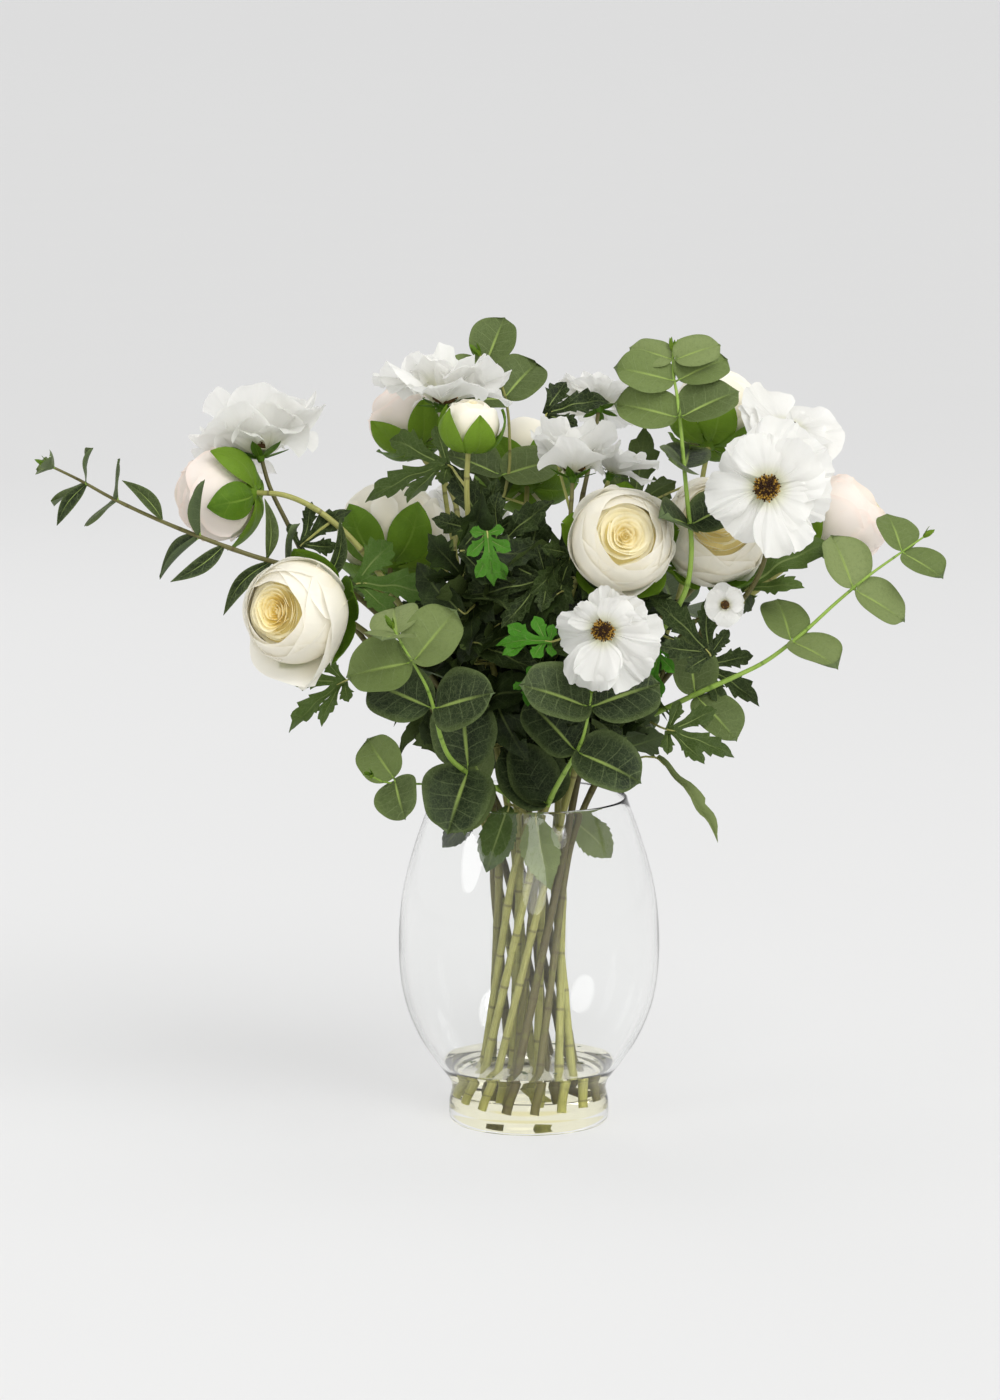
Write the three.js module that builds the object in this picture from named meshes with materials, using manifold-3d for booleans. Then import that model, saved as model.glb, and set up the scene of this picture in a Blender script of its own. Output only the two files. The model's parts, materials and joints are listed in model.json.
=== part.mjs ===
// A hand-tied bouquet of ranunculus, cosmos and eucalyptus in a bulbous glass vase.
// Millimetres, +Z up, origin at the middle of the underside of the vase's foot,
// +X to the viewer's right, +Y away from the viewer.
import * as THREE from 'three';
import Module from 'manifold-3d';

const wasm = await Module();
wasm.setup();

// ---- driving dimensions ----
const VASE_SEGMENTS = 24;
const WALL = 2.8;
const VASE_FLOOR = 7;
const RIM_HEIGHT = 202;
const FOOT_RADIUS = 49;
const BODY_RADIUS = 80;
const RIM_RADIUS = 59.7;
const WATER_TOP = 37;
const CLEARANCE = 0.35;
const STEM_FOOT = 10;
const WAIST_HEIGHT = 115;
const OUTER_WAIST = 20;
const OUTER_LEAN = 0.245;
const INNER_WAIST = 7.5;
const INNER_LEAN = 0.10;
const NECK_HEIGHT = 150;
const MOUTH_TOP = 216;
const MOUTH_REACH = 50;
const STEM_SIDES = 5;
const PETAL_THICKNESS = 0.9;
const PETAL_SHARE = 0.95;
const LEAF_THICKNESS = 0.8;
const STEM_GAP = 2.7;

// outside of the vase, radius and height
const VASE_OUTSIDE = [
  [45, 0], [FOOT_RADIUS, 3], [FOOT_RADIUS, 14], [47.6, 22.5], [57.7, 38], [68.4, 55], [76.6, 77],
  [BODY_RADIUS, 103], [78.2, 138], [71.6, 167], [RIM_RADIUS, RIM_HEIGHT - 1.2],
];
// inside of the vase, from the rim down
const VASE_INSIDE = [
  [RIM_RADIUS - 1.1, RIM_HEIGHT], [RIM_RADIUS - WALL, RIM_HEIGHT - 1.2], [68.9, 166], [75.4, 137],
  [77.1, 103.5], [73.8, 78.2], [65.9, 57], [55.4, 40.2], [44.8, 24], [44.8, 12],
  [41, VASE_FLOOR], [0, VASE_FLOOR],
];

// ranunculus: centre of the head, way it faces, radius, whorl of outer petals, colour
const RANUNCULUS = [
  { id: 'a', at: [-138.8, -70, 324.7], face: [-0.55, -0.80, 0.12], r: 31, ring: 0, tint: 'cream', fine: true, sag: 11 },
  { id: 'b', at: [53.6, -80, 368.3], face: [0.12, -0.93, 0.30], r: 30, ring: 0, tint: 'cream', fine: true },
  { id: 'c', on: ['ranunculus_b', 0.42], at: [110.6, -38, 368.2], face: [0.15, -0.58, 0.80], r: 31, ring: 0, tint: 'cream', fine: true },
  { id: 'd', at: [-188.8, -5, 386.7], face: [-0.80, 0.25, -0.10], r: 26, ring: 0, tint: 'blush' },
  { id: 'e', at: [-83.2, 30, 360.0], face: [0.05, 0.80, 0.60], r: 32, ring: 0, tint: 'cream' },
  { id: 'f', at: [-35.0, -75, 436.4], face: [0.10, -0.10, 1.0], r: 16, ring: 1, tint: 'bud' },
  { id: 'g', on: ['ranunculus_e', 0.5], at: [-74.0, 62, 427.5], face: [-0.3, 0.55, 0.7], r: 23, ring: 1, tint: 'blush' },
  { id: 'h', at: [192.4, 35, 369.3], face: [0.62, 0.10, 0.55], r: 26, ring: 0, tint: 'blush' },
  { id: 'i', on: ['ranunculus_f', 0.3], at: [-1.0, 95, 396.0], face: [0.0, 0.85, 0.45], r: 27, ring: 1, tint: 'cream' },
  { id: 'j', on: ['ranunculus_h', 0.42], at: [116.0, 75, 430.0], face: [0.2, 0.6, 0.75], r: 27, ring: 1, tint: 'cream' },
];

// cosmos: middle of the flower, way it faces, radius, upward slope of the petals, number of petals
const COSMOS = [
  { id: 'a', at: [-163.3, 10, 411.6], face: [-0.10, 0.40, 0.90], r: 43, rise: 36, n: 7, ring: 0 },
  { id: 'b', at: [-52.0, -8, 444.0], face: [0.12, -0.18, 0.97], r: 39, rise: 20, n: 7, ring: 1 },
  { id: 'c', at: [25.7, -45, 405.0], face: [0.05, 0.30, 0.95], r: 34, rise: 38, n: 7, ring: 1 },
  { id: 'd', on: ['cosmos_c', 0.5], at: [49.9, 12, 400.0], face: [0.30, 0.10, 0.95], r: 28, rise: 28, n: 6, ring: 1, plain: true },
  { id: 'e', at: [43.0, -120, 321.0], face: [-0.20, -0.96, -0.02], r: 33, rise: 10, n: 7, ring: 0, fine: true },
  { id: 'f', at: [138.0, -108, 403.0], face: [-0.06, -0.98, 0.12], r: 40, rise: 8, n: 7, ring: 0, fine: true },
  { id: 'g', on: ['cosmos_f', 0.52], at: [157.0, 22, 423.0], face: [0.25, -0.45, 0.85], r: 34, rise: 16, n: 6, ring: 0, plain: true },
  { id: 'h', on: ['cosmos_f', 0.4], at: [114.5, -92, 331.8], face: [0.10, -0.96, 0.22], r: 13, rise: 12, n: 6, ring: 0 },
  { id: 'i', at: [44.0, 95, 432.0], face: [0.1, 0.70, 0.70], r: 30, rise: 14, n: 6, ring: 1, plain: true },
  { id: 'j', on: ['cosmos_i', 0.38], at: [-40.0, 120, 350.0], face: [-0.25, 0.93, 0.20], r: 34, rise: 10, n: 7, ring: 0 },
];

// eucalyptus: points of the stem above the neck, leaf pairs (share of the way, length, width, turn), facing of the blades
const EUCALYPTUS = [
  { id: 'a', ring: 1, via: [[82, -70, 330], [82.5, -78, 392], [83.5, -74, 448], [84.5, -62, 479]], look: [0.0, -1.0, 0.35],
    pairs: [[0.55, 35, 30, 0], [0.66, 35, 31, 78], [0.78, 38, 32, 0], [0.885, 36, 31, 10], [0.965, 28, 24, -8]], blend: 0.75 },
  { id: 'b', on: ['eucalyptus_a', 0.25], ring: 1, via: [[-22, 42, 330], [-12, 52, 400], [-16, 48, 447], [-30, 40, 468]], look: [0.2, -0.9, 0.4],
    pairs: [[0.6, 42, 34, 0], [0.78, 42, 34, 20], [0.95, 30, 25, 0]], blend: 0.6 },
  { id: 'c', ring: 0, via: [[-102, -15, 327.6], [-171, -26, 358.7], [-242, -34, 387], [-287, -40, 409]], look: [0.1, -0.5, 0.6],
    pairs: [[0.52, 40, 16, 80], [0.67, 38, 15, 95], [0.82, 33, 14, 85], [0.90, 30, 12, 85], [0.985, 22, 17, 60]], blend: 0.2 },
  { id: 'd', ring: 0, via: [[102.8, -42, 271.9], [144.8, -42, 293.2], [198.8, -33, 338.1], [237, -24, 364]], look: [0.0, -0.8, 0.6],
    pairs: [[0.42, 34, 28, 20], [0.64, 32, 27, -15], [0.79, 33, 28, 15], [0.93, 27, 23, 0]], blend: 0.7 },
  { id: 'e', ring: 0, via: [[-52, -98, 240], [-62, -116, 285], [-80, -122, 322]], look: [-0.1, -1.0, 0.3],
    pairs: [[0.45, 48, 42, 30], [0.68, 46, 38, -30], [0.86, 33, 28, 0], [0.97, 29, 25, 80]], blend: 0.8 },
  { id: 'f', on: ['eucalyptus_e', 0.3], ring: 0, via: [[-70, -76, 214], [-93, -108, 232]], look: [-0.2, -0.9, 0.3],
    pairs: [[0.55, 32, 30, 20], [0.93, 27, 25, 30]], blend: 0.7 },
  { id: 'g', ring: 0, via: [[22, -78, 226], [32, -102, 254], [36, -108, 282]], look: [0.1, -0.9, 0.5],
    pairs: [[0.36, 46, 38, 10], [0.66, 44, 37, 0], [0.92, 38, 32, 20]], blend: 0.7 },
  { id: 'h', ring: 0, via: [[70, 92, 262], [96, 122, 312], [104, 132, 360]], look: [0.3, 1.0, 0.4],
    pairs: [[0.45, 42, 36, 10], [0.70, 40, 34, 70], [0.93, 32, 27, 0]], blend: 0.6 },
];

// lobed leaves: stem they grow on, middle of the blade, length, way the tip points, way the blade faces
const LOBED = [
  ['ranunculus_f', [-74.9, -30, 404], 52, [-0.95, -0.1, -0.15], [0.0, -0.75, 0.65], 1],
  ['ranunculus_d', [-124.9, -20, 369], 36, [0.7, -0.2, 0.6], [0.1, -0.85, 0.5], 1],
  ['ranunculus_f', [-38, -36, 386], 50, [-0.5, -0.2, 0.85], [0.0, -0.9, 0.4], 1],
  ['ranunculus_f', [-6, -48, 374], 46, [0.6, -0.3, 0.6], [0.1, -0.85, 0.5], 1],
  ['ranunculus_f', [-23.7, -95, 359], 34, [0.1, -0.3, -0.95], [0.0, -0.95, 0.3], 1],
  ['ranunculus_b', [-17, -72, 342], 54, [-0.8, -0.2, -0.4], [0.1, -0.85, 0.5], 1],
  ['ranunculus_b', [19, -94, 336], 50, [0.2, -0.2, -0.95], [0.3, -0.9, 0.2], 1],
  ['ranunculus_b', [-4, -98, 312], 34, [-0.95, -0.2, 0.1], [0.0, -0.85, 0.5], 1],
  ['cosmos_e', [10, -98, 279], 32, [0.8, -0.2, -0.5], [0.0, -0.85, 0.5], 1],
  ['cosmos_c', [27.8, 20, 440], 38, [0.8, -0.1, 0.3], [0.0, -0.8, 0.6], 0],
  ['ranunculus_h', [153, -22, 347], 58, [0.75, -0.2, 0.55], [-0.1, -0.75, 0.65], 1],
  ['ranunculus_b', [93, -80, 317], 46, [-0.7, -0.3, 0.4], [0.1, -0.9, 0.4], 1],
  ['ranunculus_h', [122, -46, 277], 42, [0.8, -0.2, -0.4], [0.1, -0.85, 0.5], 1],
  ['ranunculus_b', [72, -98, 288], 34, [0.1, -0.2, -0.95], [-0.4, -0.9, 0.1], 1],
  ['ranunculus_a', [-130, -44, 268], 44, [-0.8, -0.2, -0.45], [-0.1, -0.75, 0.65], 1],
  ['ranunculus_h', [103, -62, 248], 42, [0.75, -0.3, -0.5], [0.1, -0.85, 0.5], 1],
  ['ranunculus_e', [-78, -2, 336], 52, [0.8, -0.3, -0.3], [0.0, -0.75, 0.65], 0],
  ['ranunculus_b', [26, -70, 282], 44, [-0.3, -0.2, 0.9], [0.2, -0.95, 0.2], 0],
  ['ranunculus_a', [-32, -46, 318], 56, [-0.4, -0.2, 0.85], [0.1, -0.9, 0.4], 0],
  ['ranunculus_b', [50, -34, 326], 56, [0.6, -0.3, 0.6], [0.0, -0.85, 0.5], 0],
  ['cosmos_c', [2, -14, 350], 54, [0.2, -0.3, 0.9], [0.1, -0.95, 0.3], 0],
  ['ranunculus_f', [-16, -20, 284], 54, [-0.3, -0.3, 0.8], [0.0, -0.9, 0.4], 0],
  ['ranunculus_e', [-58, 38, 304], 52, [-0.8, 0.4, 0.2], [0.0, 0.6, 0.8], 0],
  ['ranunculus_h', [64, 52, 316], 52, [0.6, 0.7, 0.2], [0.0, 0.7, 0.7], 0],
  ['ranunculus_i', [0, 96, 318], 54, [-0.2, 0.8, -0.4], [0.0, 0.9, 0.4], 0],
  ['ranunculus_e', [-106, 58, 318], 46, [-0.8, 0.4, -0.1], [-0.2, 0.8, 0.6], 0],
  ['ranunculus_j', [70, 96, 392], 50, [0.2, 0.4, 0.9], [0.2, 0.9, 0.3], 0],
  ['ranunculus_i', [-30, 84, 400], 50, [-0.5, 0.2, 0.85], [-0.1, 0.95, 0.3], 0],
  ['ranunculus_j', [136, 76, 360], 50, [0.8, 0.4, -0.2], [0.2, 0.7, 0.7], 0],
  ['ranunculus_h', [96, -52, 212], 62, [0.85, -0.1, -0.45], [0.2, -0.6, 0.75], 2],
  ['cosmos_e', [6, -40, 174], 44, [0.1, -0.3, -0.95], [-0.2, -0.95, 0.1], 0],
  ['cosmos_b', [-17, -42, 182], 42, [-0.6, -0.2, -0.75], [0.1, -0.95, 0.2], 0],
  ['ranunculus_h', [40, 12, 172], 40, [0.7, 0.1, -0.7], [0.0, -0.95, 0.3], 0],
  ['ranunculus_d', [-44, -22, 184], 30, [-0.6, -0.1, -0.75], [0.1, -0.95, 0.2], 0],
];

const COLOURS = {
  glass: ['#dfe6e2', 0.05], water: ['#e2e3bf', 0.08], cream: ['#f3ead2', 0.7], blush: ['#f2e2d6', 0.7],
  bud: ['#f1ecdb', 0.7], white: ['#f4f4f2', 0.75], button: ['#4a3a1c', 0.85], stem: ['#55683c', 0.7],
  lobed: ['#3d5a36', 0.7], eucalyptus: ['#5d7558', 0.75],
};

// ---- vectors ----
const V = (p) => new THREE.Vector3(p[0], p[1], p[2]);
const rad = (d) => d * Math.PI / 180;
const mix = (a, b, t) => a + (b - a) * t;

// ---- solids ----
function solid(points, tris) {
  const mesh = new wasm.Mesh({
    numProp: 3,
    vertProperties: new Float32Array(points.flatMap((p) => [p.x, p.y, p.z])),
    triVerts: new Uint32Array(tris.flat()),
  });
  return new wasm.Manifold(mesh);
}

// the outer skin alone, with no pocket left inside
function whole(body) {
  return body.decompose().sort((p, q) => q.volume() - p.volume())[0];
}

// a thin body from one sheet of points and triangles, the same on both faces
function plate(points, tris, thickness) {
  const normals = points.map(() => new THREE.Vector3());
  for (const [a, b, c] of tris) {
    const n = points[b].clone().sub(points[a]).cross(points[c].clone().sub(points[a]));
    for (const i of [a, b, c]) normals[i].add(n);
  }
  normals.forEach((n) => n.normalize());
  const count = points.length;
  const top = points.map((p, i) => p.clone().addScaledVector(normals[i], thickness / 2));
  const low = points.map((p, i) => p.clone().addScaledVector(normals[i], -thickness / 2));
  const faces = [];
  const edges = new Map();
  for (const [a, b, c] of tris) {
    faces.push([a, b, c], [a + count, c + count, b + count]);
    for (const [i, j] of [[a, b], [b, c], [c, a]]) edges.set(`${i},${j}`, [i, j]);
  }
  for (const [i, j] of edges.values()) {
    if (!edges.has(`${j},${i}`)) faces.push([j, i, i + count], [j, i + count, j + count]);
  }
  return solid([...top, ...low], faces);
}

// strip of triangles between two rows of points that may differ in number
function strip(rowA, rowB, out) {
  let i = 0;
  let j = 0;
  while (i < rowA.length - 1 || j < rowB.length - 1) {
    const a = rowA.length > 1 ? (i + 1) / (rowA.length - 1) : 2;
    const b = rowB.length > 1 ? (j + 1) / (rowB.length - 1) : 2;
    if (j >= rowB.length - 1 || (i < rowA.length - 1 && a < b)) {
      out.push([rowA[i], rowA[i + 1], rowB[j]]);
      i += 1;
    } else {
      out.push([rowA[i], rowB[j + 1], rowB[j]]);
      j += 1;
    }
  }
}

// petals or sepals that grow from one small hub: rows gives the points across each row,
// shape(k, i, c) gives the place of column share c of row i of petal k
function whorl(count, rows, shape, hub, thickness) {
  const points = [];
  const tris = [];
  const base = [];
  for (let k = 0; k < count; k += 1) {
    base.push(points.length);
    points.push(shape(k, 0, 0));
  }
  const middle = points.length;
  points.push(hub);
  for (let k = 0; k < count; k += 1) {
    let row = [base[k], base[(k + 1) % count]];
    tris.push([middle, row[0], row[1]]);
    for (let i = 1; i < rows.length; i += 1) {
      const next = [];
      for (let j = 0; j < rows[i]; j += 1) {
        next.push(points.length);
        points.push(shape(k, i, rows[i] > 1 ? j / (rows[i] - 1) : 0.5));
      }
      strip(next, row, tris);
      row = next;
    }
  }
  return { points, tris, thickness };
}

function tube(path, radii, sides, startWay, endWay) {
  const points = [];
  const tris = [];
  let side = new THREE.Vector3(0.31, 0.95, 0.02);
  path.forEach((p, i) => {
    let tangent = path[Math.min(i + 1, path.length - 1)].clone().sub(path[Math.max(i - 1, 0)]).normalize();
    if (i === 0 && startWay) tangent = startWay.clone();
    if (i === path.length - 1 && endWay) tangent = endWay.clone();
    side = side.clone().addScaledVector(tangent, -side.dot(tangent)).normalize();
    const up = tangent.clone().cross(side);
    for (let k = 0; k < sides; k += 1) {
      const a = 2 * Math.PI * k / sides;
      points.push(p.clone().addScaledVector(side, radii[i] * Math.cos(a)).addScaledVector(up, radii[i] * Math.sin(a)));
    }
  });
  for (let i = 0; i + 1 < path.length; i += 1) {
    for (let k = 0; k < sides; k += 1) {
      const a = i * sides + k;
      const b = i * sides + (k + 1) % sides;
      tris.push([a, b, b + sides], [a, b + sides, a + sides]);
    }
  }
  const last = (path.length - 1) * sides;
  for (let k = 1; k + 1 < sides; k += 1) {
    tris.push([0, k + 1, k], [last, last + k, last + k + 1]);
  }
  return solid(points, tris);
}

function lathe(profile, segments) {
  const geometry = new THREE.LatheGeometry(profile.map(([r, z]) => new THREE.Vector2(r, z)), segments);
  return fromGeometry(geometry.rotateX(Math.PI / 2));
}

function fromGeometry(geometry) {
  const p = geometry.attributes.position;
  const index = geometry.index ? Array.from(geometry.index.array) : Array.from({ length: p.count }, (_, i) => i);
  const seen = new Map();
  const points = [];
  const remap = [];
  for (let i = 0; i < p.count; i += 1) {
    const key = [p.getX(i), p.getY(i), p.getZ(i)].map((v) => Math.round(v * 1e4)).join();
    if (!seen.has(key)) {
      seen.set(key, points.length);
      points.push(new THREE.Vector3(p.getX(i), p.getY(i), p.getZ(i)));
    }
    remap.push(seen.get(key));
  }
  const tris = [];
  for (let i = 0; i < index.length; i += 3) {
    const t = [remap[index[i]], remap[index[i + 1]], remap[index[i + 2]]];
    if (t[0] !== t[1] && t[1] !== t[2] && t[2] !== t[0]) tris.push(t);
  }
  const body = solid(points, tris);
  return body.volume() < 0 ? solid(points, tris.map(([a, b, c]) => [a, c, b])) : body;
}

// frame at a place, with its z axis along the given way
function frameAt(at, face, roll = 0) {
  const z = V(face).normalize();
  const x = new THREE.Vector3(0, 0, 1).cross(z);
  if (x.length() < 0.05) x.set(1, 0, 0);
  x.normalize();
  const y = z.clone().cross(x);
  const m = new THREE.Matrix4().makeBasis(x, y, z).multiply(new THREE.Matrix4().makeRotationZ(roll));
  return m.setPosition(V(at));
}

const polar = (r, theta, phi) => new THREE.Vector3(
  r * Math.sin(theta) * Math.cos(phi), r * Math.sin(theta) * Math.sin(phi), r * Math.cos(theta));

// ---- stems ----
function stemRoute(spec, slotAzimuth) {
  const waist = spec.ring ? INNER_WAIST : OUTER_WAIST;
  const lean = spec.ring ? INNER_LEAN : OUTER_LEAN;
  const turn = Math.atan(lean * (NECK_HEIGHT - WAIST_HEIGHT) / waist);
  const a = slotAzimuth - turn;
  const at = (z) => new THREE.Vector3(
    waist * Math.cos(a) - lean * (z - WAIST_HEIGHT) * Math.sin(a),
    waist * Math.sin(a) + lean * (z - WAIST_HEIGHT) * Math.cos(a), z);
  return { at, way: at(1).sub(at(0)).normalize() };
}

function bezier(p0, p1, p2, p3, t) {
  const s = 1 - t;
  return p0.clone().multiplyScalar(s * s * s).addScaledVector(p1, 3 * s * s * t)
    .addScaledVector(p2, 3 * s * t * t).addScaledVector(p3, t * t * t);
}

const STEP_COUNT = 25;
const ROD_STEPS = 6;
const stems = [];
for (const f of RANUNCULUS) {
  const n = V(f.face).normalize();
  stems.push({ name: `ranunculus_${f.id}`, n, end: V(f.at).addScaledVector(n, -0.9 * f.r - 0.45), own: f,
    r0: 2.6, r1: 1.9, head: f.r * 1.16 + 3.2, centre: V(f.at) });
}
for (const f of COSMOS) {
  const n = V(f.face).normalize();
  stems.push({ name: `cosmos_${f.id}`, n, end: V(f.at).addScaledVector(n, -1.05), own: f,
    r0: 2.4, r1: 1.5, head: f.r * 0.45, centre: V(f.at).addScaledVector(n, f.r * 0.15) });
}
for (const f of EUCALYPTUS) {
  const last = V(f.via[f.via.length - 1]);
  stems.push({ name: `eucalyptus_${f.id}`, end: last, own: f, r0: 2.5, r1: 1.1, head: 0, centre: last });
}
const named = (name) => stems.find((s) => s.name === name);
for (const s of stems) {
  s.azimuth = Math.atan2(s.centre.y, s.centre.x);
  s.parent = s.own.on ? named(s.own.on[0]) : null;
}
for (const ring of [0, 1]) {
  const set = stems.filter((s) => !s.parent && s.own.ring === ring).sort((p, q) => p.azimuth - q.azimuth);
  let sx = 0;
  let sy = 0;
  set.forEach((s, k) => {
    sx += Math.cos(s.azimuth - 2 * Math.PI * k / set.length);
    sy += Math.sin(s.azimuth - 2 * Math.PI * k / set.length);
  });
  set.forEach((s, k) => { s.route = stemRoute(s.own, Math.atan2(sy, sx) + 2 * Math.PI * k / set.length); });
}
const along = (s, t) => {
  const x = t * (STEP_COUNT - 1);
  const k = Math.min(STEP_COUNT - 2, Math.floor(x));
  return s.points[k].clone().lerp(s.points[k + 1], x - k);
};
// the same on the straight lengths that the rod is made of
const onRod = (s, t) => {
  const steps = s.parent ? ROD_STEPS - 2 : ROD_STEPS;
  const k = Math.min(steps - 1, Math.floor(t * steps));
  return along(s, k / steps).lerp(along(s, (k + 1) / steps), t * steps - k);
};
const wayAlong = (s, t) => along(s, Math.min(1, t + 0.03)).sub(along(s, Math.max(0, t - 0.03))).normalize();
for (const s of [...stems.filter((q) => !q.parent), ...stems.filter((q) => q.parent)]) {
  const start = s.parent ? onRod(s.parent, s.own.on[1]) : s.route.at(NECK_HEIGHT);
  const way = s.parent ? wayAlong(s.parent, s.own.on[1]) : s.route.way;
  if (s.parent) s.r0 = mix(s.parent.r0, s.parent.r1, s.own.on[1]) * 0.85;
  s.points = [];
  const span = start.distanceTo(s.end);
  if (s.own.via) {
    const knots = s.own.via.length + 1;
    const curve = new THREE.CatmullRomCurve3(
      [start.clone().addScaledVector(way, -20), start, start.clone().addScaledVector(way, 0.2 * span), ...s.own.via.map(V)],
      false, 'centripetal');
    for (let k = 0; k < STEP_COUNT; k += 1) s.points.push(curve.getPoint((1 + knots * k / (STEP_COUNT - 1)) / (knots + 1)));
  } else {
    const p1 = start.clone().addScaledVector(way, 0.34 * span);
    const p2 = s.end.clone().addScaledVector(s.n, -0.28 * span);
    for (let k = 0; k < STEP_COUNT; k += 1) s.points.push(bezier(start, p1, p2, s.end, k / (STEP_COUNT - 1)));
  }
  s.rest = s.points.map((p) => p.clone());
  s.radius = (k) => mix(s.r0, s.r1, k / (STEP_COUNT - 1));
}
// neighbouring stems push each other aside until none of them touch, inside the mouth of the vase
const hold = (k) => Math.min(1, Math.max(0, (k - 1) / 3), Math.max(0, (STEP_COUNT - 2 - k) / 2));
for (let round = 0; round < 140; round += 1) {
  for (const s of stems.filter((q) => q.parent)) {
    const shift = onRod(s.parent, s.own.on[1]).sub(s.rest[0]);
    s.rest.forEach((p, k) => p.addScaledVector(shift, (1 - k / (STEP_COUNT - 1)) ** 2));
    s.points[0].copy(s.rest[0]);
  }
  const push = stems.map((s) => s.points.map(() => new THREE.Vector3()));
  for (let a = 0; a < stems.length; a += 1) {
    for (let b = a + 1; b < stems.length; b += 1) {
      const kin = stems[a].parent === stems[b] || stems[b].parent === stems[a];
      for (let i = 1; i < STEP_COUNT; i += 1) {
        for (let j = 1; j < STEP_COUNT; j += 1) {
          const d = stems[a].points[i].clone().sub(stems[b].points[j]);
          const want = stems[a].radius(i) + stems[b].radius(j) + STEM_GAP;
          const far = d.length();
          if (kin && ((stems[a].parent && i < 6) || (stems[b].parent && j < 6))) continue;
          if (far < want + 1.5) {
            d.multiplyScalar(Math.min(1, (want + 1.5 - far)) * 0.45 / Math.max(far, 0.01));
            push[a][i].add(d);
            push[b][j].sub(d);
          }
        }
      }
    }
    for (let i = 1; i < STEP_COUNT - 1; i += 1) {
      for (let b = 0; b < stems.length; b += 1) {
        if (a === b || stems[b].head === 0) continue;
        const d = stems[a].points[i].clone().sub(stems[b].centre);
        const want = stems[b].head + stems[a].radius(i) + 2.5;
        const far = d.length();
        if (far < want) push[a][i].addScaledVector(d, Math.min(2, want - far) / Math.max(far, 0.01));
      }
      const p = stems[a].points[i];
      const out = Math.hypot(p.x, p.y);
      if (p.z < MOUTH_TOP && out > MOUTH_REACH) {
        const back = Math.min(3, out - MOUTH_REACH) / out;
        push[a][i].add(new THREE.Vector3(-p.x * back, -p.y * back, 0));
      }
    }
  }
  stems.forEach((s, a) => {
    const moved = s.points.map((p, k) => p.clone().add(push[a][k]).sub(s.rest[k]));
    for (let k = 1; k + 1 < STEP_COUNT; k += 1) {
      const soft = moved[k].clone().multiplyScalar(0.5).addScaledVector(moved[k - 1], 0.25).addScaledVector(moved[k + 1], 0.25);
      s.points[k] = s.rest[k].clone().addScaledVector(soft, hold(k));
    }
  });
}
const bodies = new Map();
const shades = new Map();
const add = (name, body, shade) => { bodies.set(name, body); shades.set(name, shade); };

// ---- vase and water ----
add('vase', lathe([[0, 0], ...VASE_OUTSIDE, ...VASE_INSIDE], VASE_SEGMENTS), 'glass');
const fill = [[0, VASE_FLOOR + CLEARANCE], [40.8, VASE_FLOOR + CLEARANCE], [44.3, 12.2], [44.3, 24.1], [52.4, WATER_TOP],
  [0, WATER_TOP]];
let water = lathe(fill, VASE_SEGMENTS);

// ---- leaves ----
function oval(at, along1, face, length, width, droop, steps) {
  const x = along1.clone().normalize();
  const n = face.clone().addScaledVector(x, -face.dot(x)).normalize();
  const y = n.clone().cross(x);
  const stalk = 0.8 / width;
  const share = steps === 5 ? [0, 0.1, 0.28, 0.56, 0.84, 1] : [0, 0.1, 0.36, 0.74, 1];
  const half = steps === 5 ? [0, stalk, 0.42, 0.5, 0.33, 0] : [0, stalk, 0.48, 0.42, 0];
  const points = [];
  const rows = share.map((s, i) => {
    const bow = -droop * length * s * s;
    const spots = half[i] === 0 ? [0] : half[i] === stalk ? [-1, 1] : [-1, 0, 1];
    return spots.map((c) => {
      points.push(at.clone().addScaledVector(x, length * s).addScaledVector(y, c * half[i] * width)
        .addScaledVector(n, bow + Math.abs(c) * half[i] * width * 0.16));
      return points.length - 1;
    });
  });
  const tris = [];
  for (let i = 0; i + 1 < rows.length; i += 1) strip(rows[i + 1], rows[i], tris);
  return plate(points, tris, LEAF_THICKNESS);
}

const LOBES = [[0.0, 0.022], [0.12, 0.26], [0.28, 0.49], [0.46, 0.24], [0.68, 0.45], [0.68, 0.19], [0.86, 0.17]];
const LOBES_PLAIN = [[0.0, 0.022], [0.12, 0.30], [0.30, 0.50], [0.44, 0.25], [0.74, 0.42], [0.74, 0.16]];
const STRAP = [[0.0, 0.022], [0.25, 0.085], [0.62, 0.10], [0.86, 0.05]];
// a cut leaf on a thin stalk from its root to the foot of the blade
function lobed(root, middle, tip, face, length, fine) {
  const x = tip.clone().normalize();
  const n = face.clone().addScaledVector(x, -face.dot(x)).normalize();
  const y = n.clone().cross(x);
  const width = length * 0.95;
  const half = [LOBES_PLAIN, LOBES, STRAP][fine];
  const outline = [...half, [1, 0], ...half.slice().reverse().map(([s, c]) => [s, -c])];
  const spot = ([s, c]) => middle.clone().addScaledVector(x, length * (s - 0.5)).addScaledVector(y, width * c)
    .addScaledVector(n, -0.16 * length * s * s + Math.abs(c) * width * 0.22 + 0.02 * length * Math.sin(s * 17));
  const points = [spot([0.42, 0]), ...outline.map(spot)];
  const tris = outline.map((_, i) => [0, 1 + i, 1 + (i + 1) % outline.length]);
  const foot = points[1].clone().add(points[outline.length]).multiplyScalar(0.5).lerp(points[0], 0.12);
  const way = foot.clone().sub(root).normalize();
  const stalk = tube([root, foot.addScaledVector(way, 0.6)], [0.8, 0.65], 3);
  return whole(plate(points, tris, LEAF_THICKNESS).add(stalk));
}

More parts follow.
